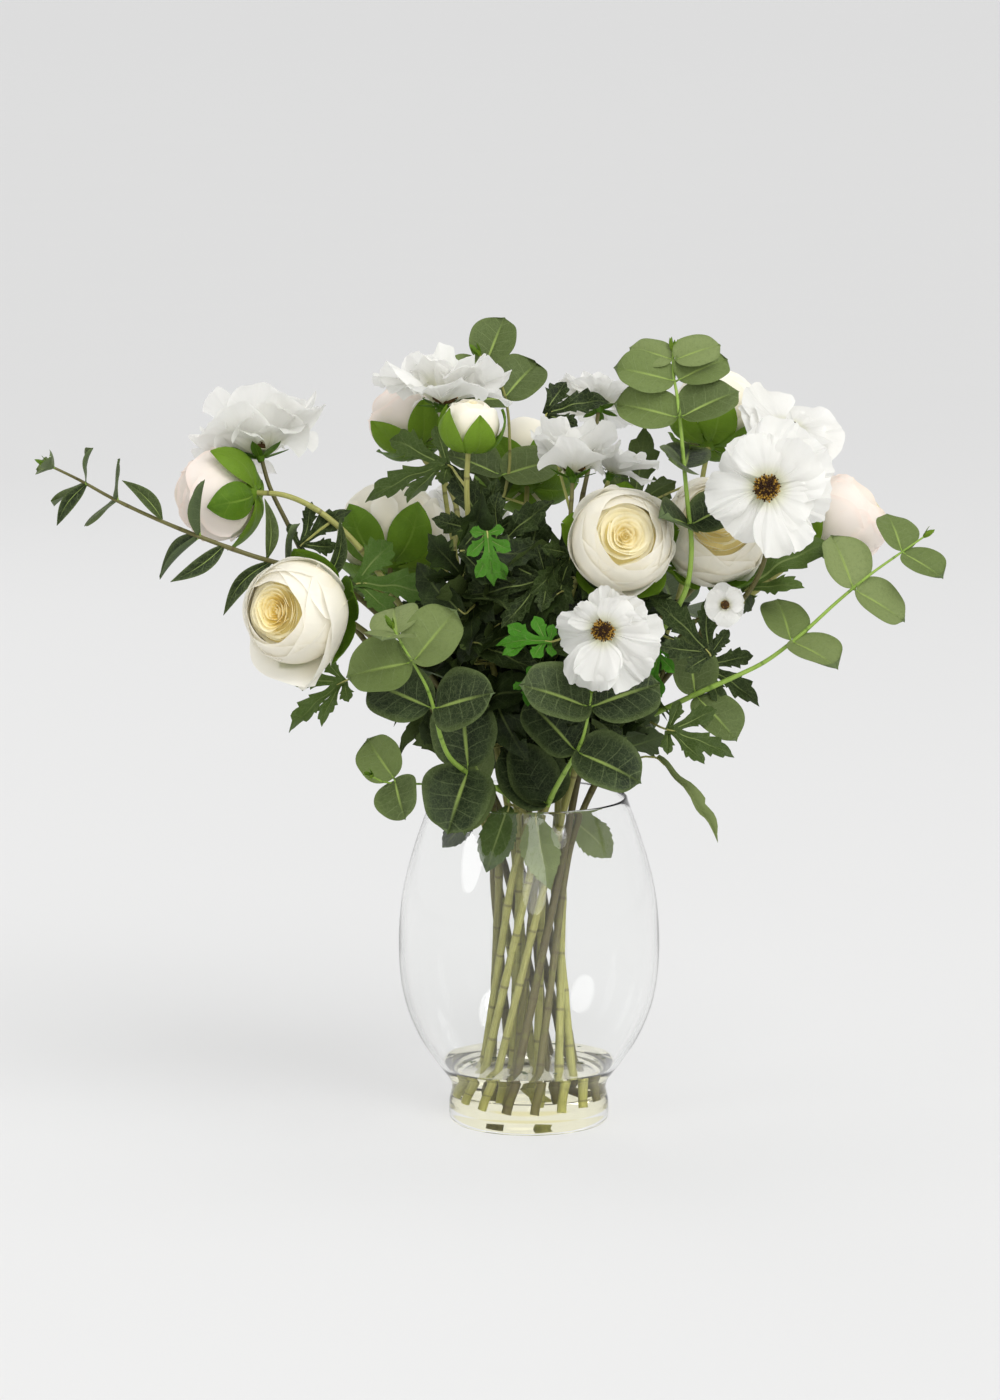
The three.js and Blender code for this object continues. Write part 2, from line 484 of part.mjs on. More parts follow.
// ---- heads ----
function ranunculusPetals(f) {
  const m = frameAt(f.at, f.face, f.id.charCodeAt(0));
  const small = f.r < 20;
  const count = 5;
  const rows = f.fine ? [2, 3, 4, 4] : [2, 3, 3];
  const polarAngle = small ? [168, 116, 46] : f.fine ? [168, 128, 84, 50] : [168, 112, 52];
  const radius = small ? [0.66, 1.06, 1.0] : f.fine ? [0.8, 1.0, 1.08, 1.03] : [0.66, 1.06, 1.04];
  const shape = (k, i, c) => {
    const across = i === 0 ? 0 : (c - 0.5);
    const wide = i === 0 ? 0 : PETAL_SHARE;
    const phi = 2 * Math.PI * (k + (i === 0 ? -0.5 : across * wide)) / count;
    const edge = i + 1 === rows.length ? 0.05 * Math.cos(across * 9 + k * 2.1) : 0;
    const p = polar(f.r * (radius[i] + across * 0.10 + edge), rad(polarAngle[i] + edge * 90), phi).applyMatrix4(m);
    const below = Math.max(0, f.at[2] - p.z) / f.r;
    if (f.sag && i > 1) p.z -= f.sag * below * (i === 3 ? 1 : 0.5);
    return p;
  };
  const hub = polar(f.r * 0.80, Math.PI, 0).applyMatrix4(m);
  const w = whorl(count, rows, shape, hub, PETAL_THICKNESS);
  let body = plate(w.points, w.tris.map(([a, b, c]) => [a, c, b]), PETAL_THICKNESS);
  // rolled inner petals round a sunk eye
  const cols = f.fine ? 10 : 8;
  const profile = small ? [[0.74, 0], [0.84, 22], [0.78, 60], [0.8, 115], [0.9, 180]]
    : f.fine ? [[0.60, 0], [0.70, 9], [0.66, 16], [0.84, 24], [0.78, 32], [0.92, 42], [0.84, 54], [0.88, 100], [0.9, 180]]
      : [[0.60, 0], [0.76, 15], [0.72, 24], [0.92, 38], [0.80, 56], [0.84, 110], [0.9, 180]];
  const points = [];
  const tris = [];
  const rings = profile.map(([q, deg], i) => {
    if (i === 0 || i === profile.length - 1) {
      points.push(polar(f.r * q, rad(deg), 0).applyMatrix4(m));
      return [points.length - 1];
    }
    return Array.from({ length: cols }, (_, k) => {
      const phi = 2 * Math.PI * (k + 0.5 * i) / cols;
      const wave = deg < 60 ? 0.03 * Math.cos(3 * phi + i) : 0;
      points.push(polar(f.r * (q + wave), rad(deg), phi).applyMatrix4(m));
      return points.length - 1;
    });
  });
  for (let i = 0; i + 1 < rings.length; i += 1) {
    const a = rings[i];
    const b = rings[i + 1];
    for (let k = 0; k < cols; k += 1) {
      if (a.length === 1) tris.push([a[0], b[k], b[(k + 1) % cols]]);
      else if (b.length === 1) tris.push([a[k], b[0], a[(k + 1) % cols]]);
      else tris.push([a[k], b[k], a[(k + 1) % cols]], [a[(k + 1) % cols], b[k], b[(k + 1) % cols]]);
    }
  }
  return whole(body.add(solid(points, tris)));
}

function sepals(f) {
  const m = frameAt(f.at, f.face, f.id.charCodeAt(0) + 0.3);
  const reach = f.r < 20 ? [170, 128, 88] : [171, 140, 104];
  const shape = (k, i, c) => {
    const across = i === 0 ? 0 : (c - 0.5) * [0, 0.72, 0][i];
    const phi = 2 * Math.PI * (k + (i === 0 ? -0.5 : across)) / 5;
    const out = [0.9 * f.r + 1.7, 1.07 * f.r + 2.4, 1.16 * f.r + 3.0][i];
    return polar(out, rad(reach[i]), phi).applyMatrix4(m);
  };
  const hub = polar(0.9 * f.r + 1.7, Math.PI, 0).applyMatrix4(m);
  const w = whorl(5, [2, 2, 1], shape, hub, LEAF_THICKNESS);
  return plate(w.points, w.tris.map(([a, b, c]) => [a, c, b]), LEAF_THICKNESS);
}

function cosmosPetals(f) {
  const m = frameAt(f.at, f.face, f.id.charCodeAt(0) * 0.7);
  const rows = f.r < 20 || f.plain ? [2, 3, 3] : f.fine ? [2, 3, 4, 5] : [2, 3, 5];
  const out = f.r < 20 ? [0.16, 0.6, 1] : f.fine ? [0.14, 0.42, 0.76, 1] : [0.14, 0.58, 1];
  const shape = (k, i, c) => {
    const across = i === 0 ? 0 : c - 0.5;
    const phi = 2 * Math.PI * (k + (i === 0 ? -0.5 : across * PETAL_SHARE)) / f.n;
    const last = i + 1 === rows.length;
    const frill = last ? 0.05 * Math.cos(across * 12.6 + k * 1.7) : 0;
    const r = f.r * (out[i] + frill) * (1 - (i > 0 ? 0.16 * across * across * 4 * out[i] : 0));
    const pleat = (i === 0 ? 0 : 0.05 * f.r * out[i] * Math.cos(across * 12.6 + k));
    const z = (r - f.r * out[0]) * Math.tan(rad(f.rise + 4 * Math.sin(k * 2.4))) + pleat
      + across * 0.14 * f.r * (i === 0 ? 0 : Math.min(1, out[i] * 1.5)) - (last ? 0.05 * f.r : 0);
    return new THREE.Vector3(r * Math.cos(phi), r * Math.sin(phi), i === 0 ? 0 : z).applyMatrix4(m);
  };
  const w = whorl(f.n, rows, shape, V([0, 0, 0]).applyMatrix4(m), PETAL_THICKNESS);
  return plate(w.points, w.tris, PETAL_THICKNESS);
}

function buttonDome(f) {
  const m = frameAt(f.at, f.face, 0.2);
  const r = Math.min(0.17 * f.r, 6.6) + 0.4;
  const low = PETAL_THICKNESS / 2 + 0.4;
  const wide = [0.14 * f.r * 0.8, r, r * 0.72];
  const high = [low, low + r * 0.42, low + r * 0.84];
  const points = [V([0, 0, low]).applyMatrix4(m)];
  const cols = 7;
  wide.forEach((w, i) => {
    for (let k = 0; k < cols; k += 1) {
      const phi = 2 * Math.PI * (k + 0.5 * i) / cols;
      points.push(V([w * Math.cos(phi), w * Math.sin(phi), high[i]]).applyMatrix4(m));
    }
  });
  points.push(V([0, 0, low + r * 0.9]).applyMatrix4(m));
  const tris = [];
  const last = points.length - 1;
  for (let k = 0; k < cols; k += 1) {
    const n = (k + 1) % cols;
    tris.push([0, 1 + n, 1 + k]);
    for (let i = 0; i < 2; i += 1) {
      const a = 1 + i * cols;
      tris.push([a + k, a + n, a + cols + k], [a + n, a + cols + n, a + cols + k]);
    }
    tris.push([last, 1 + 2 * cols + k, 1 + 2 * cols + n]);
  }
  return solid(points, tris);
}

function calyx(f) {
  const m = frameAt(f.at, f.face, f.id.charCodeAt(0) * 0.7 + 0.25);
  const n = f.r < 20 ? 4 : 6;
  const length = 0.42 * f.r;
  const shape = (k, i) => {
    const phi = 2 * Math.PI * (k + (i === 0 ? -0.5 : 0)) / n;
    const r = [2.6, length][i];
    const z = -2.0 - 0.02 * f.r + (r - 2.6) * Math.tan(rad(f.rise - 18));
    return new THREE.Vector3(r * Math.cos(phi), r * Math.sin(phi), i === 0 ? -2.0 : z).applyMatrix4(m);
  };
  const w = whorl(n, [2, 1], shape, V([0, 0, -2.0]).applyMatrix4(m), LEAF_THICKNESS);
  return plate(w.points, w.tris, LEAF_THICKNESS);
}

// ---- stems with all that grows from them ----
for (const s of [...stems.filter((q) => !q.parent), ...stems.filter((q) => q.parent)]) {
  const path = s.parent ? [] : [s.route.at(STEM_FOOT)];
  const radii = s.parent ? [] : [s.r0 + 0.2];
  const steps = s.parent ? ROD_STEPS - 2 : ROD_STEPS;
  for (let k = 0; k <= steps; k += 1) {
    path.push(along(s, k / steps));
    radii.push(mix(s.r0, s.r1, k / steps));
  }
  const rod = tube(path, radii, STEM_SIDES, s.parent ? null : s.route.way, s.n || null);
  if (s.parent) {
    s.node = s.parent.node;
    s.node.body = s.node.body.add(rod);
  } else {
    s.node = { name: `${s.name}_stem`, body: rod, kind: s.own.via ? 'eucalyptus' : 'stem' };
    water = water.subtract(tube([path[0].clone().addScaledVector(s.route.way, -CLEARANCE), s.route.at(WATER_TOP + 6)],
      [s.r0 + 0.7, s.r0 + 0.7], STEM_SIDES));
  }
}
add('water', water, 'water');
for (const f of RANUNCULUS) {
  add(`ranunculus_${f.id}_petals`, ranunculusPetals(f), f.tint);
  const { node } = named(`ranunculus_${f.id}`);
  node.body = node.body.add(sepals(f));
}
for (const f of COSMOS) {
  add(`cosmos_${f.id}_petals`, cosmosPetals(f), 'white');
  add(`cosmos_${f.id}_button`, buttonDome(f), 'button');
  const { node } = named(`cosmos_${f.id}`);
  node.body = node.body.add(calyx(f));
}

// ---- leaves are set one by one where nothing else stands ----
const nodes = [...new Set(stems.map((s) => s.node))];
const others = [...bodies.entries()].filter(([n]) => n !== 'water').map(([n, body]) => ({ name: n, body }));
const apart = (p, q) => ['x', 'y', 'z'].some((_, i) => p.min[i] > q.max[i] + 1 || q.min[i] > p.max[i] + 1);
function clear(leaf, own) {
  const p = leaf.boundingBox();
  return [...others, ...nodes].every((o) => {
    if (o === own) return true;
    if (o.boxOf !== o.body) {
      o.boxOf = o.body;
      o.box = o.body.boundingBox();
    }
    return apart(p, o.box) || leaf.minGap(o.body, 1) > 0.42;
  });
}
const notes = [];
function grow(node, choices, make, what) {
  for (const choice of choices) {
    const leaf = make(choice);
    if (leaf.volume() > 0 && clear(leaf, node)) {
      node.body = node.body.add(leaf);
      notes.push(`${what} choice ${choices.indexOf(choice)} ${JSON.stringify(choice)}`);
      return;
    }
  }
  notes.push(`${what} LEFT OUT`);
}
const TURNS = [1, 0.8].flatMap((size) => [0, 15, -15, 30, -30, 45, -45, 65, -65, 90, -90, 130].map((turn) => [rad(turn), size]));
const SHIFTS = [1, 0.8].flatMap((size) => [0, -7, 7, -14, 14, -22, 22, -30, 30, 40].flatMap((y) => [0, 25, -25].map((turn) => [y, rad(turn), size])));
for (const s of stems.filter((q) => q.own.pairs)) {
  s.own.pairs.forEach(([t, length, width, turn0], p) => {
    const at = onRod(s, t);
    const tangent = wayAlong(s, t);
    const look = V(s.own.look).normalize();
    const side = look.clone().cross(tangent).normalize();
    for (const half of [0, 1]) {
      grow(s.node, TURNS, ([turn, size]) => {
        const dir = side.clone().applyAxisAngle(tangent, rad(turn0) + Math.PI * half + turn);
        const way = dir.clone().multiplyScalar(0.9).addScaledVector(tangent, 0.38).normalize();
        const face = tangent.clone().multiplyScalar(1 - s.own.blend).addScaledVector(look, s.own.blend);
        return oval(at, way, face, length * size, width * size, 0.10, length > 40 ? 5 : 4);
      }, `${s.name} pair ${p} half ${half}`);
    }
  });
}
LOBED.forEach(([name, middle, length, tip, face, fine], i) => {
  const s = named(name);
  grow(s.node, SHIFTS, ([y, turn, size]) => {
    const m = V(middle).add(new THREE.Vector3(0, y, 0));
    let best = 0.1;
    for (let t = 0.1; t < 0.92; t += 0.04) {
      const reach = along(s, t).distanceTo(m) + 0.5 * Math.max(0, along(s, t).z - m.z);
      if (reach < along(s, best).distanceTo(m) + 0.5 * Math.max(0, along(s, best).z - m.z)) best = t;
    }
    return lobed(onRod(s, best), m, V(tip).normalize().applyAxisAngle(V(face).normalize(), turn), V(face), length * size, fine);
  }, `${name} lobed ${i}`);
});
for (const o of nodes) add(o.name, whole(o.body), o.kind);

// ---- meshes ----
const group = new THREE.Group();
for (const [name, body] of bodies) {
  const mesh = body.getMesh();
  const geometry = new THREE.BufferGeometry();
  geometry.setAttribute('position', new THREE.BufferAttribute(new Float32Array(mesh.vertProperties), 3));
  geometry.setIndex(Array.from(mesh.triVerts));
  const [color, roughness] = COLOURS[shades.get(name)];
  const item = new THREE.Mesh(geometry, new THREE.MeshStandardMaterial({ color, roughness, metalness: 0 }));
  item.name = name;
  group.add(item);
}

export { bodies, notes };
export default group;
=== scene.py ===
# %% [markdown]
# # A bouquet of ranunculus, cosmos and eucalyptus in a glass vase
#
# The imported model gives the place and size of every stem, bloom and leaf with coarse, solid forms.
# This lesson dresses it: each coarse form is replaced by a finer one in the same place, and every
# surface gets a procedural finish. Lengths are worked out in millimetres and turned into metres
# only when a mesh is made.

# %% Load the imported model
import json
import math
import bpy
import numpy as np
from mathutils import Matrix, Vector
from mathutils.kdtree import KDTree

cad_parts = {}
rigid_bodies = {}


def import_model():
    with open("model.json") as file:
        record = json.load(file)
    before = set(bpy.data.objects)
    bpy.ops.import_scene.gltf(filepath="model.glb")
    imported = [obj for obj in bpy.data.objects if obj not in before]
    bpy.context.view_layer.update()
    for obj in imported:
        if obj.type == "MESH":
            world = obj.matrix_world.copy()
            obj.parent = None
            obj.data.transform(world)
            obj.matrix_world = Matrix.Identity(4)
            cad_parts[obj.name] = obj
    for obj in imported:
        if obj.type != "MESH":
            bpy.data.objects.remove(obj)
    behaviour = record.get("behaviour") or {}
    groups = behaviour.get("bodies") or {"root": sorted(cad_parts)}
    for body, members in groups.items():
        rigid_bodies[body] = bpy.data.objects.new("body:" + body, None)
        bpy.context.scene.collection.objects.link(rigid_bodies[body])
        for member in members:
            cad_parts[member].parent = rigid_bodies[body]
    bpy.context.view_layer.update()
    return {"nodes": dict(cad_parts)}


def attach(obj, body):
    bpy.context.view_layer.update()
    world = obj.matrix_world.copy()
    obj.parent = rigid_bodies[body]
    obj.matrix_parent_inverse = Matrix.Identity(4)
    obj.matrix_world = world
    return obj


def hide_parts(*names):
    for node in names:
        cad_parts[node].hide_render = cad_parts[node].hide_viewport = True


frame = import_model()

# %% [markdown]
# ## Camera
#
# The bouquet is photographed from about three metres with a long lens, a little above its middle
# and tilted down. A long lens keeps the rim of the vase a narrow ellipse and the stems straight.

# %% The camera
CAMERA_PLACE = (-0.0178, -3.0, 0.7202)
CAMERA_TILT = 8.70
FOCAL_LENGTH = 128.1
FILM_WIDTH = 36.0
camera_data = bpy.data.cameras.new("camera")
camera_data.lens = FOCAL_LENGTH
camera_data.sensor_width = FILM_WIDTH
camera_data.clip_end = 200.0
camera = bpy.data.objects.new("camera", camera_data)
camera.location = CAMERA_PLACE
camera.rotation_euler = (math.radians(90 - CAMERA_TILT), 0, 0)
bpy.context.scene.collection.objects.link(camera)
bpy.context.scene.camera = camera
print("camera at", tuple(camera.location))

# %% [markdown]
# ## Vectors
#
# Everything that grows is laid out with a few vector helpers. Arrays of points are rows of x, y, z,
# so one line of arithmetic moves a whole petal. Petals could also be bent with modifiers, but a
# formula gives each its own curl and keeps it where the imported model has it.

# %% Small helpers for vectors and seeds
MILLIMETRE = 0.001
METRE = 1000
WAVE = (0, 6.28)


def unit(v):
    """v, or each row of it, made one long."""
    v = np.asarray(v, float)
    return v / np.maximum(np.linalg.norm(v, axis=-1, keepdims=True), 1e-12)


def blend(a, b, t):
    """a where t is 0, b where t is 1."""
    return a + (b - a) * t


def dice(name):
    """A random generator that gives the same numbers for the same name."""
    return np.random.default_rng([ord(c) for c in name])


def turned(v, axis, angle):
    """v turned about a unit axis."""
    v = np.asarray(v, float)
    c = math.cos(angle)
    return v * c + np.cross(axis, v) * math.sin(angle) + np.outer(v @ axis, axis).reshape(v.shape) * (1 - c)


def frame_at(face, roll=0.0):
    """Three axes as rows, the third along face, turned by roll about it."""
    z = unit(face)
    x = np.cross([0, 0, 1], z)
    x = unit([1, 0, 0] if np.linalg.norm(x) < 0.05 else x)
    y = np.cross(z, x)
    c, s = math.cos(roll), math.sin(roll)
    return np.array([c * x + s * y, c * y - s * x, z])


print("x turned a quarter round z:", turned([1, 0, 0], np.array([0, 0, 1.0]), math.pi / 2).round(3))


# %% Small helpers for rings and sheets of points
def ring_of(count):
    """Angles of points that stand evenly round a ring."""
    return 2 * np.pi * np.arange(count) / count


def sheet(rows, cols, eased=False):
    """Places on a blade: v runs from 0 at its base to 1 at its tip, c from -1 to 1 across it."""
    v = np.linspace(0, 1, rows)[:, None]
    if eased:
        v = (1 - np.cos(np.pi * v)) / 2
    return v, np.linspace(-1, 1, cols)[None]


def layers(*numbers):
    """Numbers or grids of them, spread to one shape and laid side by side: points, or paint."""
    return np.stack(np.broadcast_arrays(*numbers), -1)


def turned_body(radii, heights, count):
    """Rings of count points about the third axis, one for each radius and height."""
    angle, radii, heights = ring_of(count), np.array(radii), np.array(heights)
    return layers(np.outer(radii, np.cos(angle)), np.outer(radii, np.sin(angle)), heights[:, None])


print("a turned body of 2 rings of 6 points is a grid of", turned_body([1, 1], [0, 1], 6).shape)


# %% [markdown]
# ## Where everything stands
#
# The tables below are the bouquet's layout: where each head is, which way it faces, how big it is,
# and which stem a side shoot grows from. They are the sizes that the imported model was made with.
# Some heads have more to say: nod is the way their petals face, gold how yellow the heart is, open
# how far it opens, sag how low the outer petals hang, and lift, crown, shaggy, airy, pull and more
# shape the petals of a cosmos.

# %% The blooms
# at: the middle in mm; face: the way it looks; r: radius in mm; ring: outer 0 or inner 1 at the neck;
# on: the stem that it grows from and the share of the way; rise: slope of the petals; n: their number
RANUNCULUS = [
    dict(id="a", at=(-138.8, -70, 324.7), face=(-0.55, -0.80, 0.12), r=31, ring=0, tint="cream",
         sag=11, gold=1.0),
    dict(id="b", at=(53.6, -80, 368.3), face=(0.12, -0.93, 0.30), r=30, ring=0, tint="cream"),
    dict(id="c", on=("ranunculus_b", 0.42), at=(110.6, -38, 368.2), face=(0.15, -0.58, 0.80), r=31,
         tint="cream", open=1.0, gold=0.12, nod=(0.10, -0.86, 0.50)),
    dict(id="d", at=(-188.8, -5, 386.7), face=(-0.80, 0.25, -0.10), r=26, ring=0, tint="blush"),
    dict(id="e", at=(-83.2, 30, 360.0), face=(0.05, 0.80, 0.60), r=32, ring=0, tint="cream"),
    dict(id="f", at=(-35.0, -75, 436.4), face=(0.10, -0.10, 1.0), r=16, ring=1, tint="cream"),
    dict(id="g", on=("ranunculus_e", 0.5), at=(-74.0, 62, 427.5), face=(-0.3, 0.55, 0.7), r=23,
         tint="blush"),
    dict(id="h", at=(192.4, 35, 369.3), face=(0.62, 0.10, 0.55), r=26, ring=0, tint="blush"),
    dict(id="i", on=("ranunculus_f", 0.3), at=(-1.0, 95, 396.0), face=(0.0, 0.85, 0.45), r=27,
         tint="cream"),
    dict(id="j", on=("ranunculus_h", 0.42), at=(116.0, 75, 430.0), face=(0.2, 0.6, 0.75), r=27,
         tint="cream"),
]
COSMOS = [
    dict(id="a", at=(-163.3, 10, 411.6), face=(-0.10, 0.40, 0.90), r=43, rise=36, n=7, ring=0, crown=-4,
         lift=40, shaggy=0.5, grow=1.1),
    dict(id="b", at=(-52.0, -8, 444.0), face=(0.12, -0.18, 0.97), r=39, rise=20, n=7, ring=1, crown=18,
         lift=44, nod=(0.10, 0.14, 0.98), more=2, shaggy=0.8, grow=1.16),
    dict(id="c", at=(25.7, -45, 405.0), face=(0.05, 0.30, 0.95), r=34, rise=38, n=7, ring=1, crown=8, more=1,
         lift=52, shaggy=0.5, grow=1.06),
    dict(id="d", on=("cosmos_c", 0.5), at=(49.9, 12, 400.0), face=(0.30, 0.10, 0.95), r=28, rise=28, n=6),
    dict(id="e", at=(43.0, -120, 321.0), face=(-0.20, -0.96, -0.02), r=33, rise=10, n=7, ring=0,
         pull=(0.14, 0.0, -0.20), airy=1, shaggy=0.3),
    dict(id="f", at=(138.0, -108, 403.0), face=(-0.06, -0.98, 0.12), r=40, rise=8, n=7, ring=0,
         pull=(0.12, 0.0, 0.06), airy=1, shaggy=0.45),
    dict(id="g", on=("cosmos_f", 0.52), at=(157.0, 22, 423.0), face=(0.25, -0.45, 0.85), r=34, rise=16, n=6),
    dict(id="h", on=("cosmos_f", 0.4), at=(114.5, -92, 331.8), face=(0.10, -0.96, 0.22), r=13, rise=12, n=6),
    dict(id="i", at=(44.0, 95, 432.0), face=(0.1, 0.70, 0.70), r=30, rise=14, n=6, ring=1),
    dict(id="j", on=("cosmos_i", 0.38), at=(-40.0, 120, 350.0), face=(-0.25, 0.93, 0.20), r=34, rise=10, n=7),
]
print(len(RANUNCULUS), "ranunculus and", len(COSMOS), "cosmos")

# %% The eucalyptus branches
# via: points of the branch; pairs of leaves: share of the way, length, width, turn; tones: one a pair;
# look and lie: the way the leaves face and how much; rod, slim, grow: rod and leaves made thinner or larger
EUCALYPTUS = [
    dict(id="a", ring=1, rod=0.6, via=[(82, -70, 330), (82.5, -78, 392), (83.5, -74, 448), (84.5, -62, 479)],
         tones=(0.0, 0.12, 0.55, 0.7, 0.8), look=(0.0, -1.0, 0.35), lie=0.75, slim=0.84, grow=1.0,
         pairs=[(0.55, 35, 30, 0), (0.66, 35, 31, 78), (0.78, 38, 32, 0), (0.885, 36, 31, 10),
                (0.965, 28, 24, -8)]),
    dict(id="b", on=("eucalyptus_a", 0.25),
         via=[(-22, 42, 330), (-12, 52, 400), (-16, 48, 447), (-30, 40, 468)],
         tones=(0.2, 0.3, 0.4), look=(0.2, -0.9, 0.4), lie=0.6,
         pairs=[(0.6, 42, 34, 0), (0.78, 42, 34, 20), (0.95, 30, 25, 0)]),
    dict(id="c", ring=0, via=[(-102, -15, 327.6), (-171, -26, 358.7), (-242, -34, 387), (-287, -40, 409)],
         grow=1.15, slim=0.52, tones=(0.05, 0.05, 0.2, 0.3, 0.6), look=(0.1, -0.5, 0.6), lie=0.2,
         pairs=[(0.52, 40, 16, 80), (0.67, 38, 15, 95), (0.82, 33, 14, 85), (0.90, 30, 12, 85),
                (0.985, 22, 17, 60)]),
    dict(id="d", ring=0, rod=0.5,
         via=[(102.8, -42, 271.9), (144.8, -42, 293.2), (198.8, -33, 338.1), (237, -24, 364)],
         tones=(0.45, 0.75, 0.85, 0.55), look=(0.0, -0.8, 0.6), lie=0.7,
         pairs=[(0.42, 34, 28, 20), (0.64, 32, 27, -15), (0.79, 33, 28, 15), (0.93, 27, 23, 0)]),
    dict(id="e", ring=0, rod=0.5, via=[(-52, -98, 240), (-62, -116, 285), (-80, -122, 322)],
         grow=1.16, tones=(0.0, 0.08, 0.75, 0.95), look=(-0.1, -1.0, 0.3), lie=0.8,
         pairs=[(0.45, 48, 42, 30), (0.68, 46, 38, -30), (0.86, 33, 28, 0), (0.97, 29, 25, 80)]),
    dict(id="f", on=("eucalyptus_e", 0.3), rod=0.5, via=[(-70, -76, 214), (-93, -108, 232)],
         tones=(0.35, 0.5), look=(-0.2, -0.9, 0.3), lie=0.7, pairs=[(0.55, 32, 30, 20), (0.93, 27, 25, 30)]),
    dict(id="g", ring=0, rod=0.5, via=[(22, -78, 226), (32, -102, 254), (36, -108, 282)],
         grow=1.18, tones=(0.0, 0.0, 0.08), look=(0.1, -0.9, 0.5), lie=0.7,
         pairs=[(0.36, 46, 38, 10), (0.66, 44, 37, 0), (0.92, 38, 32, 20)]),
    dict(id="h", ring=0, via=[(70, 92, 262), (96, 122, 312), (104, 132, 360)],
         tones=(0.1, 0.2, 0.3), look=(0.3, 1.0, 0.4), lie=0.6,
         pairs=[(0.45, 42, 36, 10), (0.70, 40, 34, 70), (0.93, 32, 27, 0)]),
]

